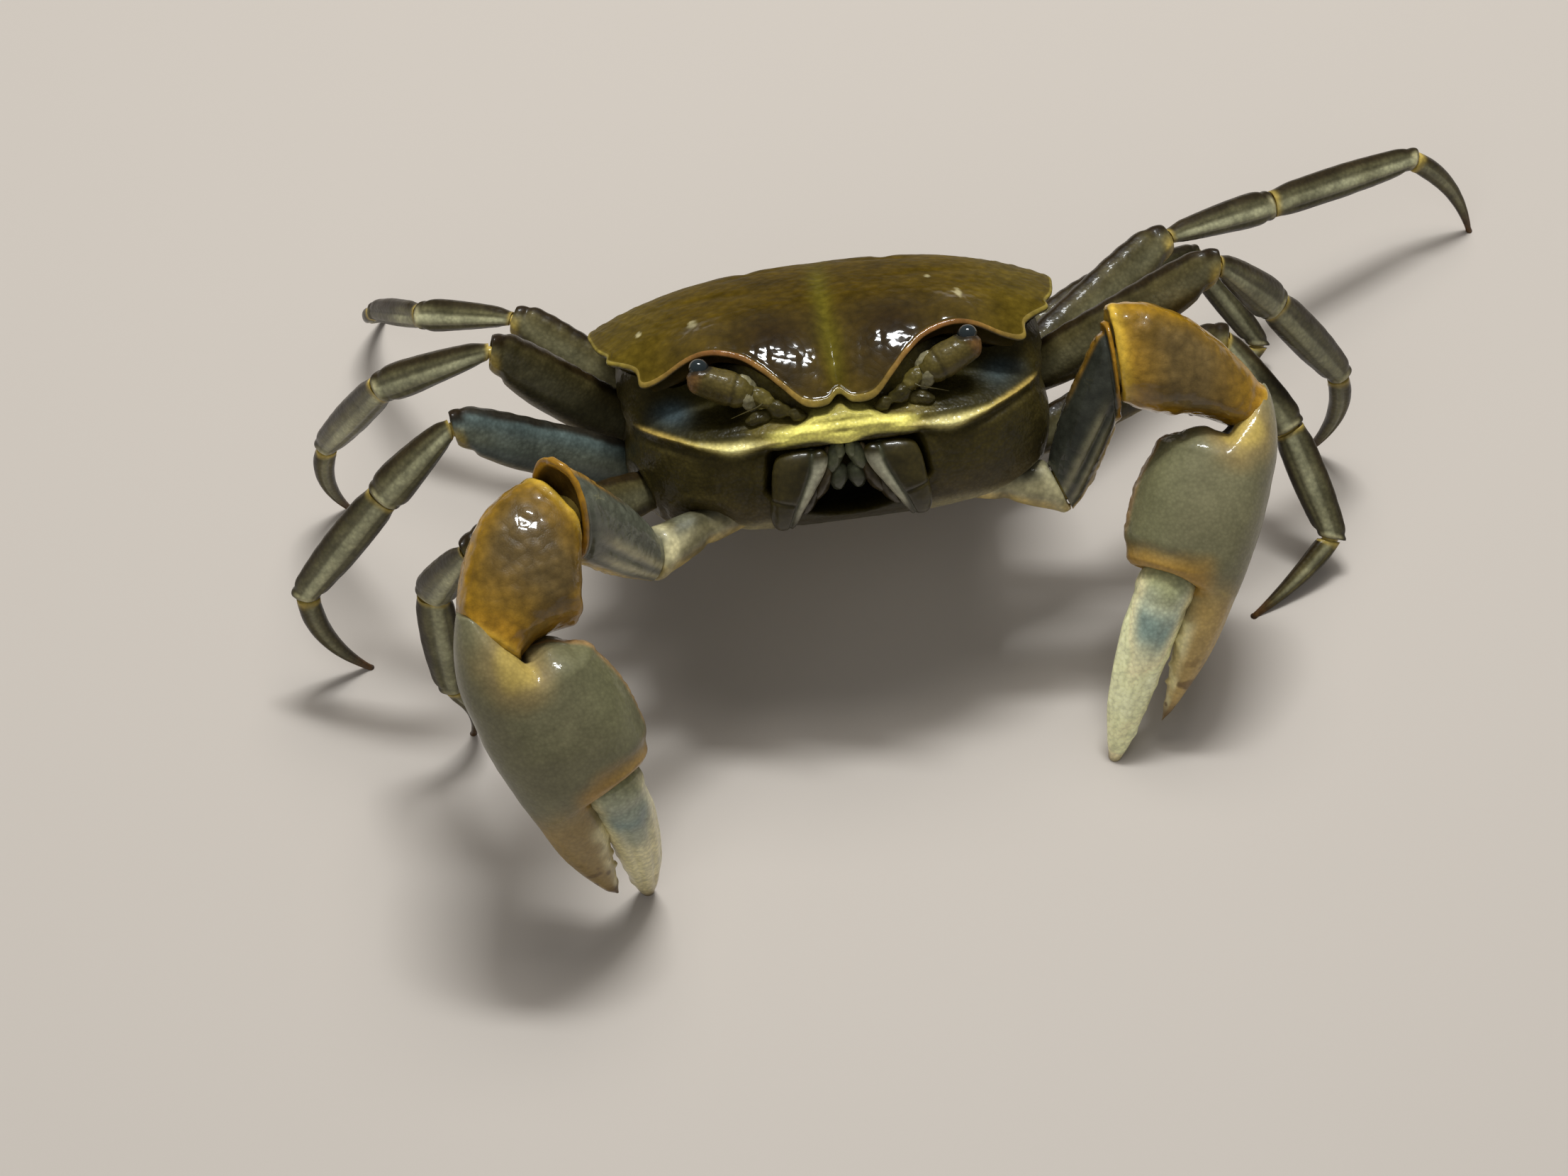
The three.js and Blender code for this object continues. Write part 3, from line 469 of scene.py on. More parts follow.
# ---- carapace --------------------------------------------------------------------------------------
# Left half of the margin from the median notch round to the middle of the back.
MARGIN = [
    (0, -17.2), (1.2, -17.8), (3.2, -17.9), (5.1, -17.0), (6.8, -15.9), (8.5, -14.9),
    (10.7, -14.3), (13.6, -14.0), (15.8, -13.9),
    (17.6, -13.4), (18.0, -11.8), (20.3, -9.2), (20.4, -7.8), (21.3, -5.0),
    (21.8, -1.5), (22, 2), (21.3, 7), (19, 12), (15, 15.6), (9.5, 17.4), (4.5, 17.9), (0, 18),
]
MARGIN_STEPS = 12
MARGIN_CURVE = closed_curve(MARGIN + [(-x, y) for x, y in MARGIN[-2:0:-1]], MARGIN_STEPS)
HUB = np.array([0.0, 1.0])                   # where the growth rings of the shell start
SIDE_FALL, SIDE_POWER = 0.00107, 2.67        # fall of the shell to its sides
BACK_FALL, FRONT_FALL = 0.024, 0.012
BEND_START, BEND_FALL = -8, 0.054            # the front is bent down from here on
HUMPS = [(1.5, 12, -14.2, 2.6), (1.4, 5.5, -15.5, 3.2)]   # orbit and lobe: height, x, y, width
TOP_ROWS = 92
CROWDING = 1.15                              # over 1 brings the rows closer together near the margin
BEAD = 0.22                                  # radius of the raised bead round the margin
# Over the bead and round the margin: way in from the margin, and rise.
BEAD_ROWS = [(0.56, -0.02), (0.46, -0.04), (0.32, 0.0), (0.25, 0.08), (0.18, 0.12), (0.1, 0.1),
             (0.03, 0.04), (0.0, -0.08), (0.03, -0.22), (0.12, -0.38), (0.26, -0.52), (0.5, -0.68),
             (0.8, -0.82)]
EDGE_ROW = TOP_ROWS + 8                      # from this row on the shell turns under
UNDER_SHARES = (0.94, 0.85, 0.7, 0.5, 0.3, 0.12)
# Worn pale specks: x, y and radius.
SPECKS = [(-12.3, -9.4, 0.5), (12.2, -9.8, 0.5), (-17.2, -6.8, 0.3), (9.9, -5.6, 0.25),
          (-5.2, 6.1, 0.25), (14.8, 3.3, 0.22)]


def shell_height(x, y):
    side = np.abs(x)
    z = CROWN - SIDE_FALL * side ** SIDE_POWER
    z = z - np.where(y > 0, BACK_FALL, FRONT_FALL) * y ** 2
    z = z - np.where(y < BEND_START, BEND_FALL * (y - BEND_START) ** 2, 0)
    for height, cx, cy, width in HUMPS:
        z = z + height * hump(side, y, cx, cy, width)
    return z


def underside_limit(x, y):
    """Height of the carapace's underside over a place, for what has to stay below it."""
    curve = MARGIN_CURVE - HUB
    angles = np.arctan2(curve[:, 1], curve[:, 0])
    order = np.argsort(angles)
    reach = np.linalg.norm(curve, axis=1)
    edge = shell_height(*MARGIN_CURVE.T) - RIM
    angle = np.arctan2(y - HUB[1], x - HUB[0])
    reach, edge = (np.interp(angle, angles[order], v[order], period=2 * math.pi) for v in (reach, edge))
    share = np.minimum(np.hypot(x - HUB[0], y - HUB[1]) / reach, 1) ** 2
    return SHELL_FLOOR * (1 - share) + edge * share


def shell_relief(x, y):
    """Fine relief on top of the carapace: the median furrow, its regions' grooves and rough front."""
    side = np.abs(x)
    z = -0.38 * bell(x, 0.25 * np.sin(y / 5), 0.8) * smooth(-6, -13, y)
    z -= 0.14 * bell(x, 0, 0.8) * smooth(10, -4, y)
    z -= 0.22 * bell(y, 3.2 - 0.22 * side, 0.9) * window(1.5, 4, 7, 11, side)
    z -= 0.20 * bell(side, 6.8 + 0.12 * (y - 6), 0.8) * window(1, 5, 10, 13, y)
    z -= 0.16 * bell(y, 0.3 * (side - 6) - 5.2, 0.9) * window(5, 8, 13, 17, side)
    z -= 0.25 * bell(side, 8.9, 0.9) * smooth(-9, -12, y)
    for k in range(5):                       # oblique lines above the side margin
        line = 15.2 + 1.1 * k + 0.35 * (y + 2 + 1.6 * k)
        z += 0.08 * bell(side, line, 0.22) * window(-7 - k, -5 - k, 3, 8, y)
    level = np.zeros_like(x)
    z += 0.05 * clouds(np.stack([x, y * 0.45, level], -1), 1.0, 3) * (0.3 + smooth(-6, -12, y))
    return z + 0.02 * noise(np.stack([x, y, level], -1), 0.5, 5)


def carapace_grid():
    """Rows from the hub out over the bead and back underneath, and how far in from the margin each
    point is, which is left at 0 underneath."""
    edge = MARGIN_CURVE
    inward = unit(HUB - edge)
    reach = np.linalg.norm(edge - HUB, axis=1)
    inner = (reach - 3 * BEAD) / reach
    rows, from_edge = [], []
    for share in 1 - (1 - np.linspace(0.02, 1, TOP_ROWS)) ** CROWDING:
        p = HUB + (edge - HUB) * share * inner[:, None]
        rows.append(np.column_stack([p, shell_height(*p.T) + shell_relief(*p.T)]))
        from_edge.append(reach * (1 - share * inner))
    s = np.arange(len(edge))
    strength = 0.3 + 0.7 * smooth(-6, -13, edge[:, 1]) + 0.16 * np.sin(s * 2.1) * np.sin(s * 0.7)
    for inset, rise in BEAD_ROWS:
        p = edge + inward * inset
        rows.append(np.column_stack([p, shell_height(*p.T) + rise * (strength if rise > 0 else 1)]))
        from_edge.append(np.full(len(edge), inset))
    for share in UNDER_SHARES:
        p = HUB + (edge - HUB) * share
        rows.append(np.column_stack([p, underside_limit(*p.T)]))
        from_edge.append(np.zeros(len(edge)))
    return np.stack(rows), np.stack(from_edge)


def carapace_shape():
    grid, from_edge = carapace_grid()
    x, y, z = np.moveaxis(grid, -1, 0)
    side = np.abs(x)
    front = smooth(-6, -13, MARGIN_CURVE[:, 1])
    band = bell(x, 0.25 * np.sin(y / 5), 0.95 + 0.1 * np.sin(y * 1.3))
    band = band * (0.25 + 0.75 * smooth(4, -6, y)) * window(-18, -15, 2, 14, y)
    colour = layered(grid, SHELL_BROWN, [
        (SHELL_OUTER, smooth(11, 19, side) * 0.8),
        (SHELL_OUTER, smooth(2, 14, y) * 0.5),
        (LOBE_BROWN, hump(side, y, 5.4, -14.0, 3.4)),
        (LOBE_BROWN, 0.35 * hump(side, y, 4.6, -3, 3.4)),
        (MEDIAN_GREEN, 0.85 * band),
    ])
    colour = mottled(colour, grid * [1, 0.5, 1], 0.16, 1.6, 11)
    bead = smooth(0.28 + 0.06 * front, 0.14 + 0.08 * front, from_edge)
    layers = [
        (MARGIN_YELLOW, bead * 0.8),
        (BEAD_ORANGE, bead * front * bell(side, 10, 6.0)),
        # Painted shade: the margin where it turns under, and the shell's underside, painted dark.
        (ORBIT_DARK_AND_SHADE, 0.85 * (np.arange(len(grid)) >= EDGE_ROW)[:, None]),
    ]
    coarse, fine = noise(grid, 0.4, 8), noise(grid, 0.3, 9)
    for sx, sy, r in SPECKS:
        spot = np.hypot(x - sx, (y - sy) * 0.45) + 0.1 * coarse + 0.25 * r * fine
        layers.append((BONE, 0.5 * smooth(r, r * 0.4, spot) * (z > SHELL_FLOOR)))
    lobes = smooth(-8.5, -12, y) * smooth(17, 12, side) * (1 - 0.8 * bell(x, 0, 0.8))
    wet = 0.06 + 0.94 * lobes + 0.9 * bead * front
    return shape(grid, np.dstack([layered(grid, colour, layers), wet]))


mesh_piece("carapace_fine", [on_body(carapace_shape())], SHELL, ["carapace"])


# ---- limbs: plan -----------------------------------------------------------------------------------
# Lengths of the first four plates, and the hip in the body's frame.
KINDS = {
    "claw": ([12, 13.5, 13.5, 17.2], (8.5, -11.5, -14.0)),
    "leg1": ([4.6, 24.5, 11, 12], (12.5, -6.5, -13)),
    "leg2": ([4.5, 23, 10.5, 15], (13.8, -1, -13)),
    "leg3": ([4.5, 24.6, 13, 19], (13.2, 4.5, -12.5)),
    "leg4": ([4.3, 18, 10, 12], (11, 9.5, -11.5)),
}
CLAW_PLATES = ["ischium", "merus", "carpus", "palm", "finger"]
LEG_PLATES = ["ischium", "merus", "carpus", "propodus", "dactyl"]
CLAW_FACE = np.array([0, -0.588, 0.809])     # way the broad outer face of a claw looks
# Stance: the way each plate points (degrees round from straight out, degrees up), then the way round
# and the distance of the tip on the ground from the last joint.
STANCE = {
    "right_claw": ([(-34, 4), (-20, 55), (-58, -16), (-145, -46)], (-177, 2.2)),
    "left_claw": ([(1, -17), (44, 53), (-9, -28), (-126, -31)], (-117, 9.7)),
    "right_leg1": ([(-22, 16), (-37, 23), (43, -65), (-107, -78)], (128, 1.9)),
    "left_leg1": ([(4, -15), (30, -3), (-43, -42), (-59, -47)], (-143, 10.1)),
    "right_leg2": ([(-12, 9), (-16, 38), (-10, -50), (-10, -55)], (-177, 4.9)),
    "left_leg2": ([(39, 39), (9, 32.5), (15, -52), (8, -57)], (142, 1.9)),
    "right_leg3": ([(-3, 19), (-17, 52.5), (15, -36), (44, -60)], (136, 1.7)),
    "left_leg3": ([(39, -19), (41, 7), (26, -12), (27, -11)], (-2, 7.4)),
    "right_leg4": ([(14, -8), (26, 24), (21, -17), (56, -40)], (93, 6.3)),
    "left_leg4": ([(27, -20), (34, 5), (25, -12), (-31, -48)], (-141, 9.5)),
}


def heading(side, around, up):
    a, e = math.radians(around), math.radians(up)
    return np.array([side * math.cos(a) * math.cos(e), math.sin(a) * math.cos(e), math.sin(e)])


def limb_points(side, kind, stance):
    """The six points of a limb: hip, four joints and the tip on the ground."""
    lengths, hip = KINDS[kind]
    turns, (around, reach) = stance
    points = [BODY[:3, :3] @ (np.array(hip) * [side, 1, 1]) + BODY[:3, 3]]
    for (a, e), length in zip(turns, lengths):
        points.append(points[-1] + heading(side, a, e) * length)
    tip = points[4] + heading(side, around, 0) * reach
    tip[2] = 0
    return points + [tip]


def plate_frame(points, i, forward):
    """4 x 4 frame of a plate: X along it, Y through its thin way, Z to its upper or outer edge."""
    x = unit(points[i + 1] - points[i])
    y = unit(forward - x * (forward @ x))
    z = np.cross(x, y)
    outer = unit(points[i] - points[i - 1]) if i > 1 else np.array([0, 0, 1.0])
    upper = outer @ z if abs(outer @ z) > NEARLY_STRAIGHT else z[2]
    if upper < 0:
        y, z = -y, -z
    matrix = np.eye(4)
    matrix[:3] = np.column_stack([x, y, z, points[i]])
    return matrix


def plate_ends(points, i, matrix, elbow):
    """Functions of (y, z) that give where a plate's long lines meet the planes of its two joints.

    A joint's plane is midway between its plates, but a claw's wrist is square to the plate before it
    and its elbow faces more along the plate after it. A leg has no elbow.
    """
    inverse = np.linalg.inv(matrix)

    def meet(joint, set_back):
        before = unit(points[joint] - points[joint - 1])
        after = unit(points[joint + 1] - points[joint])
        normal = unit(before + after)
        if elbow and joint == WRIST:
            normal = before
            set_back = set_back + WRIST_SHIFT
        if elbow and joint == ELBOW:
            turn, shift = elbow
            normal = unit(before + turn * after)
            set_back = set_back + shift
        o = inverse[:3, :3] @ (points[joint] + normal * set_back) + inverse[:3, 3]
        n = inverse[:3, :3] @ normal
        return lambda y, z: o[0] - ((y - o[1]) * n[1] + (z - o[2]) * n[2]) / n[0]

    length = np.linalg.norm(points[i + 1] - points[i])
    near = (lambda y, z: y * 0 - SOCKET_DEPTH) if i == 0 else meet(i, GAP / 2)
    far = (lambda y, z: y * 0 + length) if i == 4 else meet(i + 1, -GAP / 2)
    return near, far


# ---- limbs: plates ---------------------------------------------------------------------------------
# Outlines: (share of the length, upper half, lower half, side half), as shares of the plate's size.
OUTLINES = {
    "ischium": [(0, 0.8, 0.8, 0.8), (0.4, 1, 1, 1), (0.75, 1, 1, 0.95), (1, 0.85, 0.8, 0.8)],
    "merus": [(0, 0.55, 0.6, 0.8), (0.1, 0.85, 0.75, 0.95), (0.35, 1, 1, 1), (0.7, 1, 0.95, 1),
              (0.92, 0.9, 0.7, 0.9), (1, 0.6, 0.5, 0.7)],
    "carpus": [(0, 0.5, 0.35, 0.6), (0.16, 0.72, 0.45, 0.78), (0.5, 1, 0.65, 0.95), (0.85, 1.15, 0.8, 1),
               (1, 1.05, 0.7, 0.85)],
    "propodus": [(0, 1.05, 0.7, 0.85), (0.14, 1.15, 0.78, 0.95), (0.45, 1.2, 0.8, 1),
                 (0.85, 1, 0.65, 0.85), (1, 0.8, 0.5, 0.65)],
}
# Half height and half thickness of each plate of a leg, from its ischium to its dactyl.
LEG_SIZES = {
    "leg1": [(2.2, 2.0), (2.35, 1.4), (1.85, 1.4), (1.7, 1.25), (1.1, 0.9)],
    "leg2": [(2.3, 2.1), (2.45, 1.5), (1.9, 1.5), (1.75, 1.3), (1.15, 0.95)],
    "leg3": [(2.3, 2.1), (2.55, 1.5), (1.65, 1.4), (1.55, 1.2), (1.1, 0.9)],
    "leg4": [(2.2, 2.0), (2.3, 1.4), (1.5, 1.3), (1.3, 1.1), (1.0, 0.85)],
}
# The arm's outlines are in millimetres, by side. The left arm is more folded.
ISCHIUM = [(0, 1.6, 1.6, 1.7), (0.3, 1.8, 1.8, 1.8), (0.6, 1.7, 1.7, 1.7), (0.9, 2.0, 2.0, 1.9),
           (1, 1.8, 1.8, 1.7)]
ARM_OUTLINES = {
    1: {
        "ischium": ISCHIUM,
        "merus": [(0, 2.0, 2.1, 1.9), (0.2, 2.6, 2.4, 2.4), (0.5, 3.0, 2.3, 2.8), (0.82, 3.1, 2.1, 2.9),
                  (1, 3.0, 1.9, 2.7)],
        "carpus": [(0, 4.2, 3.0, 2.5), (0.12, 5.2, 3.3, 3.3), (0.3, 6.1, 3.0, 4.0), (0.42, 6.2, 2.5, 4.2),
                   (0.6, 5.6, 1.9, 4.1), (0.8, 4.4, 1.6, 3.6), (0.93, 3.3, 1.6, 3.0), (1, 2.8, 1.8, 2.5)],
    },
    -1: {
        "ischium": ISCHIUM,
        "merus": [(0, 2.0, 2.1, 1.9), (0.2, 2.7, 2.6, 2.4), (0.5, 3.1, 3.1, 2.9), (0.82, 3.3, 3.4, 3.1),
                  (1, 3.3, 3.6, 2.9)],
        "carpus": [(0, 4.2, 2.2, 2.5), (0.12, 5.2, 3.2, 3.3), (0.3, 6.1, 4.6, 4.0), (0.42, 6.3, 5.2, 4.2),
                   (0.6, 5.9, 4.1, 4.1), (0.8, 4.9, 2.9, 3.6), (0.93, 3.9, 2.6, 3.0), (1, 3.3, 2.6, 2.5)],
    },
}
# Rounded ends of a plate: scale of the section, and way along the plate in mm.
NEAR_END = [(0.3, 0.5), (0.62, 0.42), (0.84, 0.2), (0.94, 0.07), (0.985, 0.01)]
FAR_END = [(0.985, 0.0), (0.95, 0.0), (0.9, -0.05), (0.84, -0.3), (0.8, -0.7), (0.5, -0.9), (0.2, -0.95)]
DACTYL_ROWS = [(0, 0.85), (0.14, 1), (0.35, 0.88), (0.6, 0.66), (0.8, 0.46), (0.92, 0.33), (1, 0.26)]
DACTYL_POINTS = (56, 40)                     # rows along it and points round it, as in all *_POINTS
SKIN_COUNT = 28                              # points round a joint's skin
FOOT_RINGS = (1, 0.6, 0.25)                  # shares of the radius of the flat under a tip


def section(up, down, side, count):
    """Rows of (y, z) round a plate, and the cosines and sines round it."""
    c, s = ring(count, 0.5)
    y = side[:, None] * squared(c, SIDE_CORNER)
    z = np.where(s > 0, up[:, None], down[:, None]) * squared(s, CORNER)
    return y, z, c, s


def plate(ends, outline, size, along, count, relief, paint):
    """A closed plate between its two joint planes. Relief and paint are functions of its surface."""
    near, far = ends
    body = 0.5 - 0.5 * np.cos(np.linspace(0.05, 0.95, along) * math.pi)
    body = 0.35 * body + 0.65 * np.linspace(0.01, 0.99, along)
    share = np.concatenate([np.zeros(len(NEAR_END)), body, np.ones(len(FAR_END))])
    scale, push = np.array(NEAR_END + [(1, 0)] * along + FAR_END).T[..., None]
    up, down, side = smooth_columns(outline, share)
    y, z, c, s = section(up * size[0], down * size[0], side * size[1], count)
    y, z = y * scale, z * scale
    t = share[:, None]
    grid = np.stack([near(y, z) * (1 - t) + far(y, z) * t + push, y, z], -1)
    grid = raised(grid, relief(t, c, s, grid) * smooth(0.8, 0.96, scale))
    # Painted shade: the far end, where it goes into the next joint, is painted dark.
    hidden = (t > 0.5) * smooth(0.9, 0.82, scale)
    return shape(grid, mix(paint(t, c, s, grid), SHADE_AND_DARK_MARKS, hidden * 0.8))


def leg_relief(name, t, c, s, grid):
    """Keels along the edges, grooves along the faces, and knobs where the plate is hinged."""
    middle = window(0.02, 0.16, 0.86, 1, t)
    h = 0.16 * bell(s, 1, 0.06) * middle + 0.10 * bell(s, -1, 0.06) * middle
    if name in ("carpus", "propodus"):
        h = h + (0.07 * bell(s, 0, 0.2) - 0.13 * twin_bells(s, 0.42, 0.13)) * middle
    if name == "merus":
        h = h + 0.03 * np.sin(t * 70 + 3 * s) * smooth(0.2, 0.9, s) * middle
        h = h - 0.16 * bell(t, 0.93, 0.018) * smooth(0.2, 0.7, np.abs(s))
    if name != "ischium":
        h = h + 0.22 * bell(np.abs(c), 1, 0.12) * bell(t, 0.965, 0.03)
    return h + 0.06 * bell(t, 0.985, 0.02) - 0.08 * bell(t, 0.945, 0.02) + 0.04 * clouds(grid, 1.1, 21)


def leg_paint(name, side, base, seed, end_darkening, t, c, s, grid):
    """A pale streak along the middle of a leg's plate, dark edges and yellow joints."""
    slim = name in ("carpus", "propodus")
    streak = bell(s, 0.05, 0.4) * (1 + 0.5 * noise(grid, 3.0, seed + 5))
    edge = np.abs(s) + 0.1 * noise(grid, 1.5, seed)
    layers = [
        (LEG_LIGHT * LEG_TONE[side], streak * (0.85 if slim else 0.22)),
        (LEG_EDGE, smooth(0.78 if name == "merus" else 0.5, 0.96, edge) * 0.9),
    ]
    if slim:
        layers += [
            (LEG_EDGE, 0.4 * twin_bells(s, 0.42, 0.12)),
            (SKIN_YELLOW, smooth(0.05, 0.0, t) * 0.7),
            (BONE, bell(t, 0.975, 0.02) * 0.5 * smooth(0.9, 0.5, np.abs(s))),
            (LEG_EDGE, smooth(0.985, 1, t) * 0.7),
        ]
    elif name == "merus":
        layers += [
            (SKIN_YELLOW, smooth(0.93, 0.975, t) * 0.8 * smooth(0.5, -0.3, s)),
            (LEG_EDGE, smooth(0.9, 0.95, t) * smooth(0.3, 0.8, s) * 0.9),
            (SKIN_YELLOW, 0.3 * smooth(-0.6, -1, s)),
            (LEG_EDGE, 0.35 * smooth(-0.1, -0.7, s)),
        ]
    else:
        layers.append((SKIN_YELLOW, 0.45 * smooth(0.75, 1, t) + 0.3))
    # One plate is painted darker towards its foot.
    layers.append((LEG_EDGE, end_darkening * smooth(0.2, 0.6, t)))
    return mottled(layered(grid, base, layers), grid, 0.3, 2.2, seed)


def arm_relief(name, t, c, s, grid):
    """Toothed crests and a rim on the merus, and humps on the carpus and the ischium."""
    h = 0.05 * clouds(grid, 1.2, 31)
    if name == "merus":
        h = h + 0.16 * twin_bells(s, 1, 0.05) * (1 + 0.8 * noise(grid, 0.45, 33)) * smooth(0.1, 0.4, t)
        h = h + 0.18 * bell(t, 0.975, 0.02) * (1 + 0.6 * noise(grid, 0.5, 35))
        return h - 0.2 * bell(t, 0.92, 0.025) - 0.3 * bell(s, -0.35, 0.12) * window(0.1, 0.3, 0.7, 0.9, t)
    if name == "carpus":
        h = h + 0.2 * bell(t, 0.03, 0.03) + 0.16 * bell(t, 0.975, 0.02)
        return h + 0.3 * bell(s, -1, 0.1) * bell(t, 0.42, 0.05) + 0.08 * noise(grid, 0.9, 37)
    return h + 0.3 * bell(t, 0.97, 0.04) - 0.3 * bell(t, 0.62, 0.05) + 0.15 * bell(np.abs(s), 1, 0.06)


def arm_paint(name, side, seed, t, c, s, grid):
    """Bone and grey on the ischium, orange edges on a grey merus, and an amber and brown carpus."""
    if name == "ischium":
        base, tone = BONE * 0.6, 1
        layers = [
            (ARM_GREY, 0.85 * smooth(-0.2, 0.4, s)),
            (ARM_YELLOW, smooth(-0.6, -0.95, s) * 0.5),
            (CHEEK_BROWN, smooth(0.0, 0.5, noise(grid, 1.6, seed)) * 0.6),
            (BONE, bell(t, 0.95, 0.05) * 0.5),
        ]
    elif name == "merus":
        base, tone = ARM_GREY * MERUS_TONE[side], 1
        stripes = bell(s, -0.15, 0.14) + bell(s, -0.62, 0.12)
        layers = [
            (BONE, (0.3 if side > 0 else 0.6) * stripes * smooth(0.9, 0.6, t)),
            (ARM_YELLOW, smooth(0.82, 0.97, -s) * 0.7),
            (ARM_ORANGE, smooth(0.9, 0.99, s) * smooth(0.3, 0.7, t) * 0.8),
            (ARM_ORANGE, smooth(0.935, 0.965, t + 0.012 * noise(grid, 0.8, seed))),
        ]
    else:
        base, tone = CARPUS_AMBER, CARPUS_TONE[side]
        layers = [
            (CARPUS_BROWN, bell(t, 0.45, 0.34) * smooth(0.35, 0.9, np.abs(c)) * 1.1),
            (ARM_ORANGE, smooth(0.8, 0.98, t + 0.05 * noise(grid, 2, seed)) * 0.8),
            (ARM_YELLOW, bell(t, 1.0, 0.04) * 0.5 + bell(t, 0.0, 0.06) * 0.7),
            (ARM_ORANGE, smooth(0.93, 1, np.abs(s)) * 0.35),
        ]
    return mottled(layered(grid, base, layers) * tone, grid, 0.28, 2.6, seed)


def kept_above_ground(grid):
    grid[..., 2] = np.maximum(grid[..., 2], 0)
    return grid


def foot(tip, outer, upper, radius, circle, rise):
    """Rings of the flat under a tip, from its slightly raised rim in towards its middle."""
    across = unit(outer * [1, 1, 0])
    along = np.cross([0, 0, 1.0], across)
    along = along * np.sign(along @ upper)
    c, s = circle
    round_tip = radius * (c[:, None] * across + s[:, None] * along)
    rings = np.array([tip * [1, 1, 0] + share * round_tip for share in FOOT_RINGS])
    rings[0, :, 2] = rise
    return rings


def dactyl(matrix, ends, length, size, seed):
    """Curved last plate of a leg: tapered, grooved, bowed outwards, ending in a flat on the ground."""
    rows, count = DACTYL_POINTS
    u = np.linspace(0, 0.97, rows)
    taper = smooth_columns(DACTYL_ROWS, u)[0]
    y, z, c, s = section(size[0] * taper, size[0] * taper, size[1] * taper, count)
    t = u[:, None]
    bow = BOW * matrix[2, 3] * 4 * t * (1 - t)
    grid = np.stack([t * length + ends[0](y, z) * smooth(0.12, 0, t), y, z + bow], -1)
    h = -0.14 * twin_bells(s, 0.38, 0.16) * taper[:, None] * window(0.02, 0.12, 0.8, 0.98, t)
    grid = raised(grid, h + 0.02 * clouds(grid, 0.9, seed))
    grid = kept_above_ground(grid @ matrix[:3, :3].T + matrix[:3, 3])
    tip = matrix[:3, 3] + matrix[:3, 0] * length
    rings = foot(tip, matrix[:3, 1], matrix[:3, 2], TOE, (c, s), 0.06)
    middle = grid[:1].mean(1, keepdims=True)
    inner = [middle + (grid[:1] - middle) * k for k in (0.3, 0.7)]
    grid = np.concatenate([*inner, grid, rings])
    t = np.concatenate([[0, 0], u, [1, 1, 1]])[:, None]
    face = np.abs(s)
    colour = layered(grid, LEG_OLIVE * 1.1, [
        (LEG_EDGE, smooth(0.45, 0.95, face) * 0.9),
        (LEG_LIGHT, bell(face, 0, 0.35) * 0.5 * smooth(0.9, 0.5, t)),
        (SKIN_YELLOW, smooth(0.08, 0.0, t) * 0.8),
        (TIP_BROWN, smooth(0.72, 0.95, t) * 0.8),
    ])
    return shape(grid, mottled(colour, grid, 0.2, 1.5, seed))


def joint_skin(points, i, before, after, forward):
    """Pale skin that joins two plates: a short bent tube from inside one to inside the next."""
    a, b = unit(points[i] - points[i - 1]), unit(points[i + 1] - points[i])
    path = points[i] + SKIN_REACH * np.array([-a, -a / 2, 0 * a, b / 2, b])
    ways = np.array([a, a, unit(a + b), b, b])
    across = unit(forward - ways * (ways @ forward)[:, None])
    size = np.array([0.8, 1, 1.02, 1, 0.8])
    wide, high = size * min(before[1], after[1]), size * min(before[0], after[0])
    grid, _, _ = tube(path, across, np.cross(ways, across), wide, high, SKIN_COUNT)
    return shape(grid, SKIN_YELLOW)


def end_size(side, kind, plate_name, far):
    """Half height and half thickness of a plate at one end, a little inside its outline."""
    end = -1 if far else 0
    if kind == "claw":
        _, up, down, thick = ARM_OUTLINES[side][plate_name][end]
        return 0.8 * min(up, down), 0.8 * thick
    high, thick = LEG_SIZES[kind][LEG_PLATES.index(plate_name)]
    if plate_name == "dactyl":
        return 0.72 * high, 0.72 * thick
    _, up, down, wide = OUTLINES[plate_name][end]
    return 0.82 * high * 0.5 * (up + down), 0.82 * thick * wide


# ---- claws -----------------------------------------------------------------------------------------
HINGE_RISE = math.radians(11)                # the finger's hinge lies this far above the palm's axis
# Palm and fixed finger: (x, lower edge, upper edge, outer half, inner half, inward bend).
PALM_ROWS = [
    (5.0, -5.1, 7.1, 4.75, 3.4, 0), (9.5, -5.3, 8.0, 4.9, 3.5, 0), (13.4, -5.1, 7.8, 4.4, 3.2, 0.1),
    (16.2, -4.8, 6.5, 3.4, 2.7, 0.4), (17.0, -4.7, 0.6, 2.7, 2.3, 0.7), (20.5, -4.4, 0.5, 2.2, 1.9, 2.1),
    (24.5, -3.6, -0.2, 1.6, 1.4, 4.1), (28.2, -2.4, -1.0, 0.9, 0.8, 6.3), (29.6, -1.7, -1.2, 0.4, 0.4, 7.2),
]
# Where the palm starts at the wrist, as (height, x): a lobe below, a notch, and the crest's shoulder.
PALM_START = [(-1.7, -3.9), (-1.0, -3.6), (-0.4, -2.4), (0.6, 0.2), (1.35, 2.4), (2.2, 2.45), (3.4, 2.3),
              (4.8, 2.8), (5.5, 3.5)]
PALM_CAP = [(0.35, -0.2), (0.62, -0.1), (0.84, 0.0), (0.95, 0.0)]   # its end: scale, and way along
PALM_LEAD = 40                               # rows from that end to the first square section
PALM_X = np.concatenate([                    # rows of the body, the wall round the finger, and beyond
    np.linspace(5.05, 16.1, 96), np.linspace(16.2, 17.0, 26), np.linspace(17.1, 28.6, 88),
    np.linspace(28.75, 29.55, 8)])
PALM_COUNT = 112                             # points round it
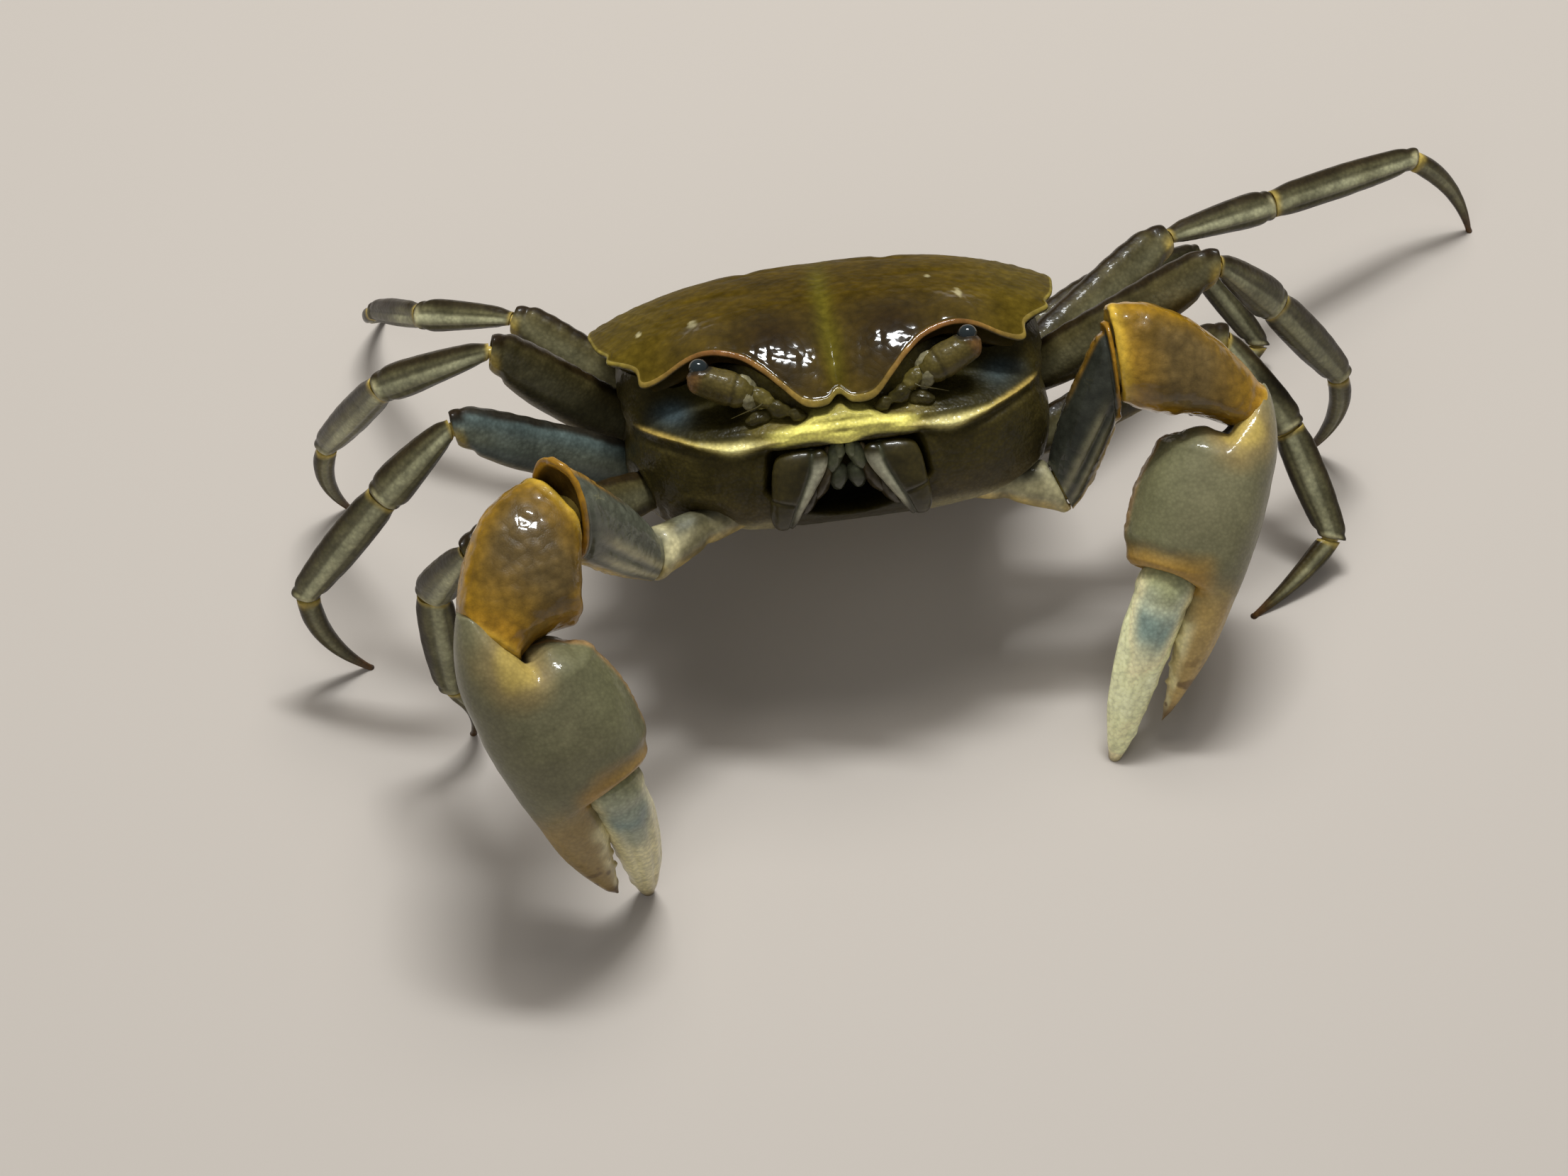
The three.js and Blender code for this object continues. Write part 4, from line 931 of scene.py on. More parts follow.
# By side: the palm's lower and upper edge and its outer and inner half where it starts, and how deep
# its lower edge lies as a share of the rows above.
PALM_NEAR = {1: (-0.7, 5.5, 2.4, 2.2), -1: (-1.7, 5.5, 2.4, 2.2)}
PALM_LOWER = {1: 0.78, -1: 1.0}
FINGER_ROWS = [(0, 2.75, 2.3), (0.12, 2.65, 2.3), (0.35, 2.4, 1.95), (0.6, 2.0, 1.55), (0.82, 1.45, 1.15),
               (0.94, 0.95, 0.8), (1, 0.5, 0.5)]
FINGER_POINTS = (104, 72)
FINGER_BOW = (0.7, 1.2)                      # pull on the finger's curve towards its back and outwards
FINGER_DROP = 0.5                            # the finger's root lies this far under its hinge
FINGER_ROOT = (2.85, 0.1)                    # height and way out of the finger's root in the palm's frame
FINGER_ROOT_HALF = (2.95, 2.5)               # half height and half width of its socket
SOCKET_WALL = (16.15, 16.3, 16.9, 17.6)      # the wall with the socket: it starts, is full, fades, ends
SOCKET_HOLLOW = 1.6                          # how far the wall is set back in the socket
FIXED_TIP, TIP_ROUND = 29.75, 1.2            # end of the fixed finger and length of its rounding
FINGER_HEEL = [(1.5, 0.3), (1.45, 0.6), (1.1, 0.86)]   # its hidden end: way back, and scale


def claw_frame(side, wrist, hinge):
    """4 x 4 frame of a claw: X along the palm, Y to the outer face, Z to the edge with the finger."""
    line = unit(hinge - wrist)
    outer = unit(CLAW_FACE - line * (CLAW_FACE @ line))
    upper = np.cross(outer, line)
    if upper[0] * side > 0:
        upper = -upper
    c, s = math.cos(HINGE_RISE), math.sin(HINGE_RISE)
    matrix = np.eye(4)
    matrix[:3] = np.column_stack([line * c - upper * s, outer, upper * c + line * s, wrist])
    return matrix


def teeth(t, phase, beat, depth):
    """Rounded teeth along a finger, one for each turn of the phase, uneven in height by a beat."""
    return depth * np.maximum(0, np.sin(phase)) ** 2 * (1 + 0.5 * np.sin(t * beat))


def palm_grid(side, c, s):
    """The palm's points, the scale of its end, and how much each is in the finger's socket."""
    v = np.concatenate([np.zeros(len(PALM_CAP)), np.linspace(0, 0.97, PALM_LEAD)])
    cap, set_in = np.array(PALM_CAP + [(1, 0)] * (PALM_LEAD + len(PALM_X))).T
    rows = smooth_columns(PALM_ROWS, PALM_X)
    rows[0] *= PALM_LOWER[side]
    start = np.array([*PALM_NEAR[side], 0])[:, None]
    rows = np.concatenate([start + (rows[:, :1] - start) * (1 - (1 - v) ** 2), rows], 1)
    low, high, outer, inner, bend = rows[..., None]
    round_tip = np.sqrt(np.clip((FIXED_TIP - PALM_X) / TIP_ROUND, 0.02, 1))
    size = np.concatenate([cap[:len(v)], round_tip])[:, None]
    out = np.where(c > 0, outer * size, inner * size) * squared(c, CORNER) - bend
    z = (low + high) / 2 + (high - low) / 2 * size * squared(s, CORNER)
    v = np.concatenate([v, np.ones(len(PALM_X))])[:, None]
    x = np.concatenate([np.full(len(v) - len(PALM_X), 5.0), PALM_X])[:, None]
    x = smooth_columns(PALM_START, z)[0] * (1 - v) + x * v + set_in[:, None]
    root_z, root_out = FINGER_ROOT
    half_z, half_out = FINGER_ROOT_HALF
    from_root = np.hypot((z - root_z) / half_z, (out - root_out) / half_out)
    wall = window(*SOCKET_WALL, x)
    x = x - SOCKET_HOLLOW * wall * smooth(1.12, 0.9, from_root) * (s > -0.2)
    return np.stack([x, out, z], -1), cap[:, None], wall * smooth(1.0, 0.8, from_root)


def palm_shape(matrix, side, seed):
    """Palm with its fixed finger, and a socket with a raised lip round the moving finger's root."""
    c, s = ring(PALM_COUNT)
    grid, cap, socket = palm_grid(side, c, s)
    t, _, z = np.moveaxis(grid, -1, 0)
    rough = noise(grid, 0.5, seed + 9)
    h = 0.16 * bell(s, 1, 0.03) * smooth(15.5, 13, t) * (1 + 0.7 * rough)
    h = h + (0.16 * bell(t, 15.75, 0.35) - 0.12 * bell(t, 14.7, 0.5)) * smooth(-0.2, 0.3, s)
    h = (h + 0.12 * bell(s, -1, 0.05) * window(4, 8, 22, 27, t)) * smooth(0.9, 1, cap)
    tooth = teeth(t, (t - 17.4) * 3.1 + 0.8 * np.sin(t), 1.3, 0.2)
    h = h + tooth * bell(s, 1, 0.12) * window(17.8, 19, 28.6, 29.4, t)
    grid = raised(grid, h + 0.035 * clouds(grid, 1.3, seed))
    edge = smooth(0.965, 0.998, s) * smooth(15, 12, t) * (0.8 + 0.4 * noise(grid, 0.5, seed + 9))
    band = smooth(13.4, 16.2, t + 0.5 * noise(grid, 2, seed)) * smooth(17.9, 17.3, t) * smooth(-1.8, 0.6, z)
    from_wrist = np.hypot((t - 1.6) * 0.8, z - 0.2) + 0.5 * noise(grid, 1.6, seed + 1)
    cream_and_glint_patches = smooth(-0.3, 0.4, noise(grid, 1.3, seed + 4))
    colour = layered(grid, PALM_OLIVE, [
        (PALM_GREEN, smooth(2, 7, z) * 0.55),
        (PALM_GREEN * 0.8, smooth(-3.4, -5.6, z) * 0.55),
        (PALM_TAN * FIXED_TIP_TONE[side], smooth(14.5, 19, t) * smooth(1, -1, z) * 0.9),
        (CREST_TAN, edge * 0.85),
        (BAND_AMBER, band * 0.9),
        (PALM_TAN, smooth(4.4, 1.6, from_wrist) * 0.5),
        (SKIN_YELLOW, smooth(2.3, 0.9, from_wrist) * 0.6),
        # Cream on the fixed finger's upper side, in patches that are partly painted highlight.
        (FINGER_CREAM, smooth(18.5, 21, t) * smooth(0.0, 0.7, s) * (0.3 + 0.5 * cream_and_glint_patches)),
        (TIP_BROWN, smooth(20, 28, t) * smooth(0.42, 0.7, noise(grid, 0.7, seed + 3)) * 0.8),
        (TIP_BROWN, smooth(27, 29, t) * 0.8),
        # Painted shade: dark in the moving finger's socket and in the palm's open end at the wrist.
        (SHADE_AND_DARK_MARKS, socket * 0.85),
        (SHADE_AND_DARK_MARKS, smooth(0.96, 0.9, cap) * smooth(2.2, 1.4, z)),
    ])
    return placed(shape(grid, mottled(colour * PALM_TONE[side], grid, 0.12, 3.2, seed)), matrix)


def finger_shape(matrix, hinge, tip, side, seed):
    """Moving finger from its root inside the palm to its tip on the ground."""
    x_way, outer, z_way = matrix[:3, :3].T
    start = hinge - z_way * FINGER_DROP
    bulge = start * 0.5 + tip * 0.5 + z_way * FINGER_BOW[0] + outer * FINGER_BOW[1]
    rows, count = FINGER_POINTS
    u = np.linspace(0, 0.965, rows)
    t = u[:, None]
    centre = (1 - t) ** 2 * start + 2 * t * (1 - t) * bulge + t ** 2 * tip
    way = unit(2 * (1 - t) * (bulge - start) + 2 * t * (tip - bulge))
    way = unit(way * smooth(0, 0.1, t) + x_way * (1 - smooth(0, 0.1, t)))
    across = unit(outer - way * (way @ outer)[:, None])
    upper = np.cross(way, across)
    upper = upper * np.sign(upper @ z_way)[:, None]
    high, thick = smooth_columns(FINGER_ROWS, u)
    grid, c, s = tube(centre, across, upper, thick, high, count, (1, CORNER))
    h = 0.1 * bell(t, 0.05, 0.03) - 0.06 * bell(t, 0.11, 0.03)
    h = h - 0.16 * (bell(s, 0.45, 0.14) + bell(s, -0.35, 0.14)) * window(0.15, 0.25, 0.8, 0.95, t)
    tooth = teeth(t, t * 38 + np.sin(t * 9), 17, 0.09)
    h = h + tooth * bell(s, -1, 0.12) * window(0.2, 0.3, 0.88, 0.96, t)
    h = h + 0.2 * bell(s, 1, 0.05) * window(0.15, 0.3, 0.7, 0.9, t)
    grid = kept_above_ground(raised(grid, h + 0.03 * clouds(grid, 1.2, seed)))
    heel = [start - x_way * back + (grid[:1] - start) * scale for back, scale in FINGER_HEEL]
    grid = np.concatenate([*heel, grid, foot(tip, outer, z_way, CLAW_TOE, (c, s), 0.08)])
    t = np.concatenate([[0, 0, 0], u, [1, 1, 1]])[:, None]
    rough_t = t + 0.06 * noise(grid, 2.0, seed + 2)
    wedge = smooth(1.05, 0.45, np.abs(s) + 1.1 * (t - 0.2))
    colour = layered(grid, FINGER_CREAM, [
        (FINGER_GREEN, smooth(0.16, 0.0, rough_t)),
        (FINGER_BLUE, bell(rough_t, 0.22, 0.18) * wedge),
        (FINGER_CREAM, bell(t, 0.06, 0.05) * smooth(0.5, 0.9, np.abs(s)) * 0.8),
        (PALM_TAN, smooth(0.75, 0.98, rough_t) * TIP_TAN[side]),
        (TIP_BROWN, smooth(0.95, 1.0, t) * 0.5),
    ])
    return shape(grid, mottled(colour * FINGER_TONE[side], grid, 0.1, 2.2, seed))


# ---- limbs: making ---------------------------------------------------------------------------------
MERUS_BASE = {"leg1": LEG_OLIVE * 0.8, "leg2": LEG_OLIVE, "leg3": LEG_OLIVE * 0.85, "leg4": LEG_OLIVE}
BLUE_MERUS = (-1, "leg2")                    # only the right second leg has a blue merus
DARKENED_PLATE = (-1, "leg4", "propodus")     # this one is brown-black towards its foot
END_DARKENING = 0.8
# Rows along a plate and points round it.
ARM_POINTS = {"ischium": (40, 48), "merus": (84, 84), "carpus": (100, 104)}
LEG_POINTS = {"ischium": (22, 56), "merus": (72, 56), "carpus": (46, 56), "propodus": (54, 56)}
CLAW_FINISH = {"ischium": (BELLY, "belly_shell"), "merus": (ARM, "arm_shell"), "carpus": (ARM, "arm_shell"),
               "palm": (PALM, "palm_shell"), "finger": (FINGER, "finger_shell")}
PALM_SKIN = (1.8, 1.7)                       # half height and half width of the skin inside the palm


def claw_plate(part, side, points, matrix, ends, seed, number):
    claw = claw_frame(side, points[3], points[4])
    if part == "palm":
        return palm_shape(claw, side, seed)
    if part == "finger":
        return finger_shape(claw, points[4], points[5], side, seed)
    relief, paint = partial(arm_relief, part), partial(arm_paint, part, side, seed + number)
    return placed(plate(ends, ARM_OUTLINES[side][part], (1, 1), *ARM_POINTS[part], relief, paint), matrix)


def leg_plate(part, side, kind, matrix, ends, length, seed, number):
    size = LEG_SIZES[kind][number]
    if part == "dactyl":
        return dactyl(matrix, ends, length, size, seed)
    base = LEG_FAR * LEG_TONE[side]
    if part == "merus":
        base = LEG_BLUE if (side, kind) == BLUE_MERUS else MERUS_BASE[kind]
    end_darkening = END_DARKENING * ((side, kind, part) == DARKENED_PLATE)
    relief, paint = partial(leg_relief, part), partial(leg_paint, part, side, base, seed + number, end_darkening)
    return placed(plate(ends, OUTLINES[part], size, *LEG_POINTS[part], relief, paint), matrix)


def make_limb(side, kind, seed):
    name = f"{SIDE_NAMES[side]}_{kind}"
    points = limb_points(side, kind, STANCE[name])
    is_claw = kind == "claw"
    forward, plates = (CLAW_FACE, CLAW_PLATES) if is_claw else (BODY_FORWARD, LEG_PLATES)
    skins = []
    for i, part in enumerate(plates):
        matrix = plate_frame(points, i, forward)
        ends = plate_ends(points, i, matrix, ELBOWS[side] if is_claw else None)
        length = np.linalg.norm(points[i + 1] - points[i])
        if is_claw:
            made = claw_plate(part, side, points, matrix, ends, seed, i)
        else:
            made = leg_plate(part, side, kind, matrix, ends, length, seed, i)
        material, slot = CLAW_FINISH[part] if is_claw else (LEG, "leg_shell")
        mesh_piece(f"{name}_{part}_fine", [made], material, [f"{name}_{part}"])
        if i and part != "finger":
            before = end_size(side, kind, plates[i - 1], True)
            after = PALM_SKIN if part == "palm" else end_size(side, kind, part, False)
            skins.append(joint_skin(points, i, before, after, forward))
    mesh_piece(f"{name}_skin", skins, SKIN)
    return points


LIMBS = {}
for number, (side, kind) in enumerate(product(SIDE_NAMES, KINDS)):
    LIMBS[side, kind] = make_limb(side, kind, 100 + 10 * number)


# ---- lower body ------------------------------------------------------------------------------------
# Each level is (height, half width, front, back).
LEVELS = [
    (0.6, 17, -11.5, 14.2), (-1.5, 19.4, -12.9, 15.4), (-4.2, 19.9, -14.4, 15.2), (-6.0, 19.6, -17.0, 14.8),
    (-6.9, 19.4, -17.8, 14.5), (-10, 19.9, -17.4, 13.2), (-13, 19.4, -16.8, 11.4), (-15.6, 17.6, -15.6, 9),
    (-17.0, 12.5, -12.5, 6.5),
]
LEVEL_MIDDLE = -3.0
SQUARENESS = 0.62
FULLEST = 4                                  # number of the level that spaces the points of them all
LOWER_COUNT = 620                            # points round each level
LOWER_ROWS = (150, 34)                       # rows down to the seventh level, and from there on
FACE_START = -11                             # the face is in front of this
FACE_DENSITY = 3.0                           # its points are closer together by this factor
# Under the last level: scale of the section, and drop.
LOWER_CAP = [(0.97, -0.12), (0.9, -0.3), (0.78, -0.42), (0.6, -0.5), (0.4, -0.55), (0.2, -0.58)]
RIDGE_LINE = [(0, -7.6), (2.5, -7.2), (6.6, -7.5), (10, -7.8), (13, -7.3), (15.2, -6.7), (18.2, -6.1),
              (21, -5.7)]
RIDGE_PEAK = (9.8, 2.6)                      # where the ridge under the eyes is highest, and its width
# Dents of the face: depth, then the place and width of each across and up.
FACE_DENTS = [(1.3, 13.4, 4.4, -3.6, 2.0), (0.3, 15, 2.5, -5.2, 0.9), (0.9, 4.4, 1.0, -5.2, 0.65),
              (0.5, 8.2, 1.0, -4.6, 1.0)]


def level_outline(width, front, back, angle):
    """Plan of a level: a rounded box, with its front and back at depths of their own."""
    c, s = np.cos(angle), np.sin(angle)
    depth = np.where(s < 0, LEVEL_MIDDLE - front, back - LEVEL_MIDDLE)
    return width * squared(c, SQUARENESS), LEVEL_MIDDLE + depth * squared(s, SQUARENESS)


def level_angles(count):
    """Angles round a level that put the points close together across the face."""
    dense = np.linspace(0, 2 * math.pi, 8001)
    x, y = level_outline(*LEVELS[FULLEST][1:], dense)
    step = np.hypot(np.diff(x), np.diff(y)) * np.where(y[1:] < FACE_START, FACE_DENSITY, 1)
    run = np.concatenate([[0], np.cumsum(step)])
    return np.interp(np.arange(count) / count * run[-1], run, dense)


def ridge_height(side):
    return smooth_columns(RIDGE_LINE, side)[0]


def face_relief(x, z):
    """How far the face stands out, in mm, at a place on it seen from the front."""
    side = np.abs(x)
    ridge = ridge_height(side)
    peak = bell(side, *RIDGE_PEAK)
    out = (0.3 + 0.3 * peak) * bell(z, ridge, 0.2 + 0.26 * peak) * window(4, 7.5, 18, 20, side)
    out += 0.5 * bell(z, ridge + 0.1, 0.85) * smooth(8, 4.5, side)
    out -= 0.4 * bell(z, ridge - 0.85, 0.42) * window(5, 7.5, 17, 19.5, side)
    out += 0.16 * noise(np.stack([x, z, 0 * x], -1), 1.3, 46) * smooth(8, 10, side) * smooth(-6.6, -5.6, z)
    for depth, across, wide, up, high in FACE_DENTS:
        out -= depth * bell(side, across, wide) * bell(z, up, high)
    septum = smooth(1.0, -0.2, side - 0.5 - np.clip(-4.3 - z, 0, 3) * 1.45) * smooth(-7.2, -6.6, z)
    out += (0.3 + 1.5 * smooth(-6.8, -5.2, z)) * septum
    width = 6.7 + 0.12 * np.clip(-8.4 - z, 0, 8)
    lower_lip = -15.2 + 0.05 * side ** 2
    mouth = smooth(width + 0.7, width - 0.9, side) * smooth(-8.3, -8.9, z)
    mouth = mouth * smooth(lower_lip - 0.5, lower_lip + 0.5, z)
    out -= 3.0 * mouth
    out += 0.16 * bell(side, width + 1.2, 0.5) * smooth(-8.3, -9, z)
    return out, mouth, septum


def lower_relief(grid, y):
    """Roughness, hollows round the hips, the sutures underneath and the line along the flank.

    The sutures and the line are placed by y as it was before the face was shaped.
    """
    x, _, z = np.moveaxis(grid, -1, 0)
    h = 0.05 * clouds(grid, 1.2, 41) + 0.04 * noise(grid, 0.55, 43)
    for (side, kind), points in LIMBS.items():
        hip = np.array(KINDS[kind][1]) * [side, 1, 1]
        run = BODY[:3, :3].T @ unit(points[1] - points[0])
        along = np.clip((grid - hip) @ run, -2, 9)
        away = np.linalg.norm(grid - hip - along[..., None] * run, axis=-1)
        h = h - 0.7 * bell(away, 0, 2.0) + 0.2 * bell(away, 3.0, 0.5)
    for k in range(5):
        h = h - 0.22 * bell(y, 4.2 * k - 9.5 + 0.25 * np.abs(x), 0.3) * smooth(-14.5, -15.6, z)
    flank = smooth(-10, -6, y) * smooth(17.5, 18.5, np.abs(x))
    return h - 0.2 * bell(z, -4.6 - 0.05 * (y + 12), 0.35) * flank


def lower_shape():
    sides, under = LOWER_ROWS
    order = np.concatenate([np.linspace(0, 6, sides), np.linspace(6.05, 8, under)])
    rows = smooth_columns(numbered(LEVELS), order)
    shares, drops = np.array(LOWER_CAP).T
    centre = np.array([0, 0, LEVEL_MIDDLE, LEVEL_MIDDLE])[:, None]
    cap = (rows[:, -1:] - centre) * shares + centre
    cap[0] = rows[0, -1] + drops
    z, width, front, back = np.concatenate([rows, cap], 1)[..., None]
    x, y = level_outline(width, front, back, level_angles(LOWER_COUNT))
    grid = np.stack([x, y, z + 0 * x], -1)
    out, mouth, septum = face_relief(x, grid[..., 2])
    facing = smooth(-9.5, -12.5, y)
    grid[..., 1] -= out * facing
    grid = raised(grid, lower_relief(grid, y))
    limit = underside_limit(grid[..., 0], grid[..., 1]) - GAP
    grid[..., 2] = np.minimum(grid[..., 2], limit)
    return shape(grid, lower_paint(grid, facing, mouth, septum))


def lower_paint(grid, facing, mouth, septum):
    """Brown cheeks, a pale ridge and epistome with a painted highlight on the ridge, blue-grey orbits,
    painted shade in the sockets and the mouth, and a cream belly.
    """
    x, _, z = np.moveaxis(grid, -1, 0)
    side = np.abs(x)
    ridge = ridge_height(side)
    above = smooth(-0.3, 0.3, z - ridge) * facing
    blue = bell(side, 15.2, 1.7) * bell(z, -4.9, 0.9) * (0.8 + 0.5 * noise(grid, 1.8, 44))
    bar = smooth(0.95, 0.45, np.abs(z - ridge - 0.25 + 0.5 * bell(side, 0, 1.6))) * smooth(7.6, 5.4, side)
    bead = bell(z, ridge + 0.05, 0.22 + 0.34 * bell(side, *RIDGE_PEAK)) * smooth(19.4, 17.8, side) * facing
    colour = layered(grid, CHEEK_BROWN, [
        (CHEEK_LIGHT, smooth(-11, -15, z) * 0.55),
        (BELLY_CREAM, smooth(-14.8, -16.2, z) * 0.75),
        (ORBIT_DARK_AND_SHADE, above * smooth(7.5, 9, side)),
        (ORBIT_BLUE, above * blue),
        # Painted shade: the top of the orbit, under the front of the shell, painted dark.
        (SHADE_AND_DARK_MARKS, above * smooth(-2.6, -1.0, z) * 0.8),
        (SEPTUM_OLIVE, above * smooth(9.5, 7, side)),
        # Painted shade in the antennule's socket.
        (SHADE_AND_DARK_MARKS, facing * bell(side, 4.6, 1.3) * bell(z, -5.3, 0.9) * 0.9),
        (EPISTOME_YELLOW, septum * smooth(-4.6, -6.4, z) * 0.8 * facing),
        (EPISTOME_YELLOW, bar * facing),
        (mix(RIDGE_YELLOW, BEAD_ORANGE, 0.35 * smooth(12, 16.5, side)), bead * smooth(5, 7, side)),
        # The ridge is pale cream, brightened towards its peak as a painted highlight.
        (RIDGE_CREAM_AND_HIGHLIGHT, bead * bell(side, 9.8, 2.8) * (0.9 + 0.3 * noise(grid, 0.9, 45))),
        # Painted shade: low in the middle of the face, over the mouth's hollow, and black deep inside it.
        (CHEEK_BROWN * 0.55, smooth(7.5, 6.0, side) * smooth(-13, -14, z) * facing),
        (CHEEK_BROWN * 0.5, mouth * facing),
        (MOUTH_SHADE_BLACK, mouth * smooth(-11.6, -13.0, z) * smooth(4.6, 3.2, side)),
        (MARGIN_YELLOW, 0.35 * smooth(18.6, 19.4, side) * bell(z, -6.5, 0.8) * (1 - facing)),
    ])
    wet = (1 - 0.95 * mouth) * (1 - 0.8 * above * smooth(8, 10, side) * smooth(-5.5, -4, z))
    return np.dstack([mottled(colour, grid, 0.25, 2.4, 47), wet])


mesh_piece("lower_shell_fine", [on_body(lower_shape())], FACE, ["lower_shell"])


# ---- abdomen, mouthparts and antennae --------------------------------------------------------------
# Each row is (back to front, height, half width, half thickness).
ABDOMEN = [(15.6, -5.5, 6.2, 0.5), (14.6, -10.5, 6.0, 0.9), (11.2, -14.6, 5.2, 1.0), (6.0, -16.9, 4.2, 1.0),
           (0.5, -17.4, 3.2, 0.9), (-4.0, -17.2, 1.7, 0.6)]
SEGMENTS = 6
ABDOMEN_POINTS = (150, 96)
# Each row is (height, middle, half width, front).
MAXILLIPED = [(-16.2, 6.3, 0.9, -16.0), (-14.4, 5.9, 1.5, -16.9), (-12.4, 5.1, 2.0, -17.4),
              (-10.2, 4.3, 2.5, -17.5), (-8.6, 3.9, 2.5, -17.2)]
MAXILLIPED_HALF = 0.9                        # half its thickness
MAXILLIPED_POINTS = (84, 88)
ACROSS, DEEP = np.eye(3)[:2]
# Each blob is (centre, half sizes along and across, way it points, colour).
MOUTH_BLOBS = [
    ((1.1, -16.4, -9.9), (1.6, 1.0, 0.8), (0.35, 0.1, -1), MOUTH_GREEN * 0.8),
    ((0.5, -16.9, -9.1), (0.8, 0.6, 0.5), (0.1, 0, -1), MOUTH_GREEN * 1.2),
    ((3.0, -16.6, -11.6), (3.3, 0.65, 0.5), (0.58, 0.05, -1.1), CHEEK_LIGHT * 1.1),
    # These blobs lie deeper in the mouth and are painted darker, as shade.
    ((0.8, -16.2, -11.7), (1.3, 0.9, 0.8), (0.25, 0.2, -1), MOUTH_GREEN * 0.42),
    ((2.2, -16.2, -11.9), (2.0, 1.1, 0.7), (0.45, 0.1, -1), CHEEK_LIGHT * 0.6),
    ((3.4, -15.9, -13.2), (2.2, 1.2, 0.7), (0.5, 0.1, -1), CHEEK_LIGHT * 0.5),
]
ANTENNA_BLOBS = [
    ((8.1, -16.0, -3.0), (1.7, 1.3, 0.75), (-0.2, -0.1, -1), BONE * 0.34),
    ((6.9, -16.35, -3.6), (1.3, 0.75, 0.8), (-0.9, -0.2, -0.75), SEPTUM_OLIVE * 0.55),
    ((5.5, -16.75, -4.8), (1.2, 0.6, 0.8), (-0.8, -0.1, -0.45), SEPTUM_OLIVE * 0.28),
    ((3.9, -17.0, -5.4), (1.0, 0.45, 0.6), (1, -0.1, 0.3), SEPTUM_OLIVE * 0.25),
    ((7.4, -16.4, -5.4), (1.3, 0.6, 0.7), (1, -0.1, -0.25), SEPTUM_OLIVE * 0.3),
]
ANTENNA_PATH = [(6.9, -17.1, -3.9), (7.6, -17.3, -4.2), (8.7, -17.3, -4.5), (9.9, -17.2, -4.9)]
WHIP_POINTS = (34, 14)


def abdomen_shape():
    rows, count = ABDOMEN_POINTS
    order = np.linspace(0, 5, rows)
    y0, z0, width, thick = smooth_columns(numbered(ABDOMEN), order)
    path = np.stack([0 * y0, y0, z0], -1)
    up = unit(np.cross([1.0, 0, 0], unit(np.gradient(path, axis=0))))
    rounded = np.sqrt(np.clip(1 - ((order - 2.45) / 2.56) ** 8, 0.02, 1))
    seam = sum(bell(order, k * 5 / SEGMENTS, 0.035) for k in range(1, SEGMENTS))
    grid, _, _ = tube(path, ACROSS, up, width * rounded, thick * rounded - 0.25 * seam, count, (0.85, 1))
    colour = layered(grid, BELLY_CREAM, [
        (CHEEK_LIGHT, 0.6 * seam[:, None]),
        (CHEEK_LIGHT, smooth(1.6, 0, order)[:, None] * 0.6),
    ])
    return shape(grid, mottled(colour, grid, 0.2, 2.0, 51))


def maxilliped_shape():
    rows, count = MAXILLIPED_POINTS
    z0 = np.linspace(MAXILLIPED[0][0], MAXILLIPED[-1][0], rows)
    centre, half, y0 = smooth_columns(MAXILLIPED, z0)
    rounded = np.sqrt(np.clip(1 - ((z0 + 12.4) / 3.84) ** 12, 0.03, 1))
    path = np.stack([centre, y0, z0], -1)
    grid, _, s = tube(path, ACROSS, DEEP, half * rounded, MAXILLIPED_HALF * rounded, count, (0.8, 1))
    z = z0[:, None]
    across = (grid[..., 0] - centre[:, None]) / half[:, None]
    front = smooth(0, -0.3, s)
    band_edge = -0.42 + 0.02 * (z + 12)
    h = (0.14 * bell(across, -0.75, 0.2) - 0.2 * bell(across, band_edge, 0.1)) * front
    h = h - 0.12 * bell(z, -13.4 + 0.5 * across, 0.14) * front * smooth(band_edge, band_edge + 0.2, across)
    grid = raised(grid, h + 0.03 * clouds(grid, 0.9, 53))
    pale = smooth(band_edge + 0.05, band_edge - 0.15, across) * window(-15.6, -14, -10.4, -9.2, z)
    colour = layered(grid, CHEEK_BROWN * 0.8, [
        (CHEEK_BROWN * 0.6, smooth(0.6, -0.2, across)),
        (MOUTH_PALE * 0.9, pale),
        (MOUTH_GREEN * 0.5, bell(across, band_edge, 0.1) * 0.8),
    ])
    return shape(grid, mottled(colour, grid, 0.2, 1.4, 55))


def blob(centre, half, way, colour, seed, rough, rows=28, count=36):
    """An uneven egg with its long axis along a way; half is its half sizes along it and across it."""
    way = unit(way)
    side = unit(np.cross(way, [0, 0, 1.0]))
    polar = np.linspace(0.12, math.pi - 0.12, rows)
    path = np.asarray(centre) + (half[0] * np.cos(polar))[:, None] * way
    wide, high = half[1] * np.sin(polar), half[2] * np.sin(polar)
    grid, _, _ = tube(path, side, np.cross(side, way), wide, high, count)
    grid = raised(grid, rough * clouds(grid, 0.8, seed))
    return shape(grid, mottled(np.broadcast_to(colour, grid.shape), grid, 0.25, 0.9, seed + 1))


def blobs(rows, seed, rough):
    return [made for row in rows for made in both_sides(blob(*row, seed, rough))]


def whip(path, thick, colour):
    """A thin round feeler along a path, ringed, tapering to its tip."""
    rows, count = WHIP_POINTS
    p = smooth_columns(numbered(path), np.linspace(0, len(path) - 1, rows)).T
    way = unit(np.gradient(p, axis=0))
    side = unit(np.cross(way, [0.2, 0.1, 1.0]))
    radius = np.linspace(thick, thick * 0.25, rows) * (1 + 0.12 * np.cos(np.arange(rows) * math.pi))
    grid, _, _ = tube(p, side, np.cross(side, way), radius, radius, count)
    return shape(grid, colour)


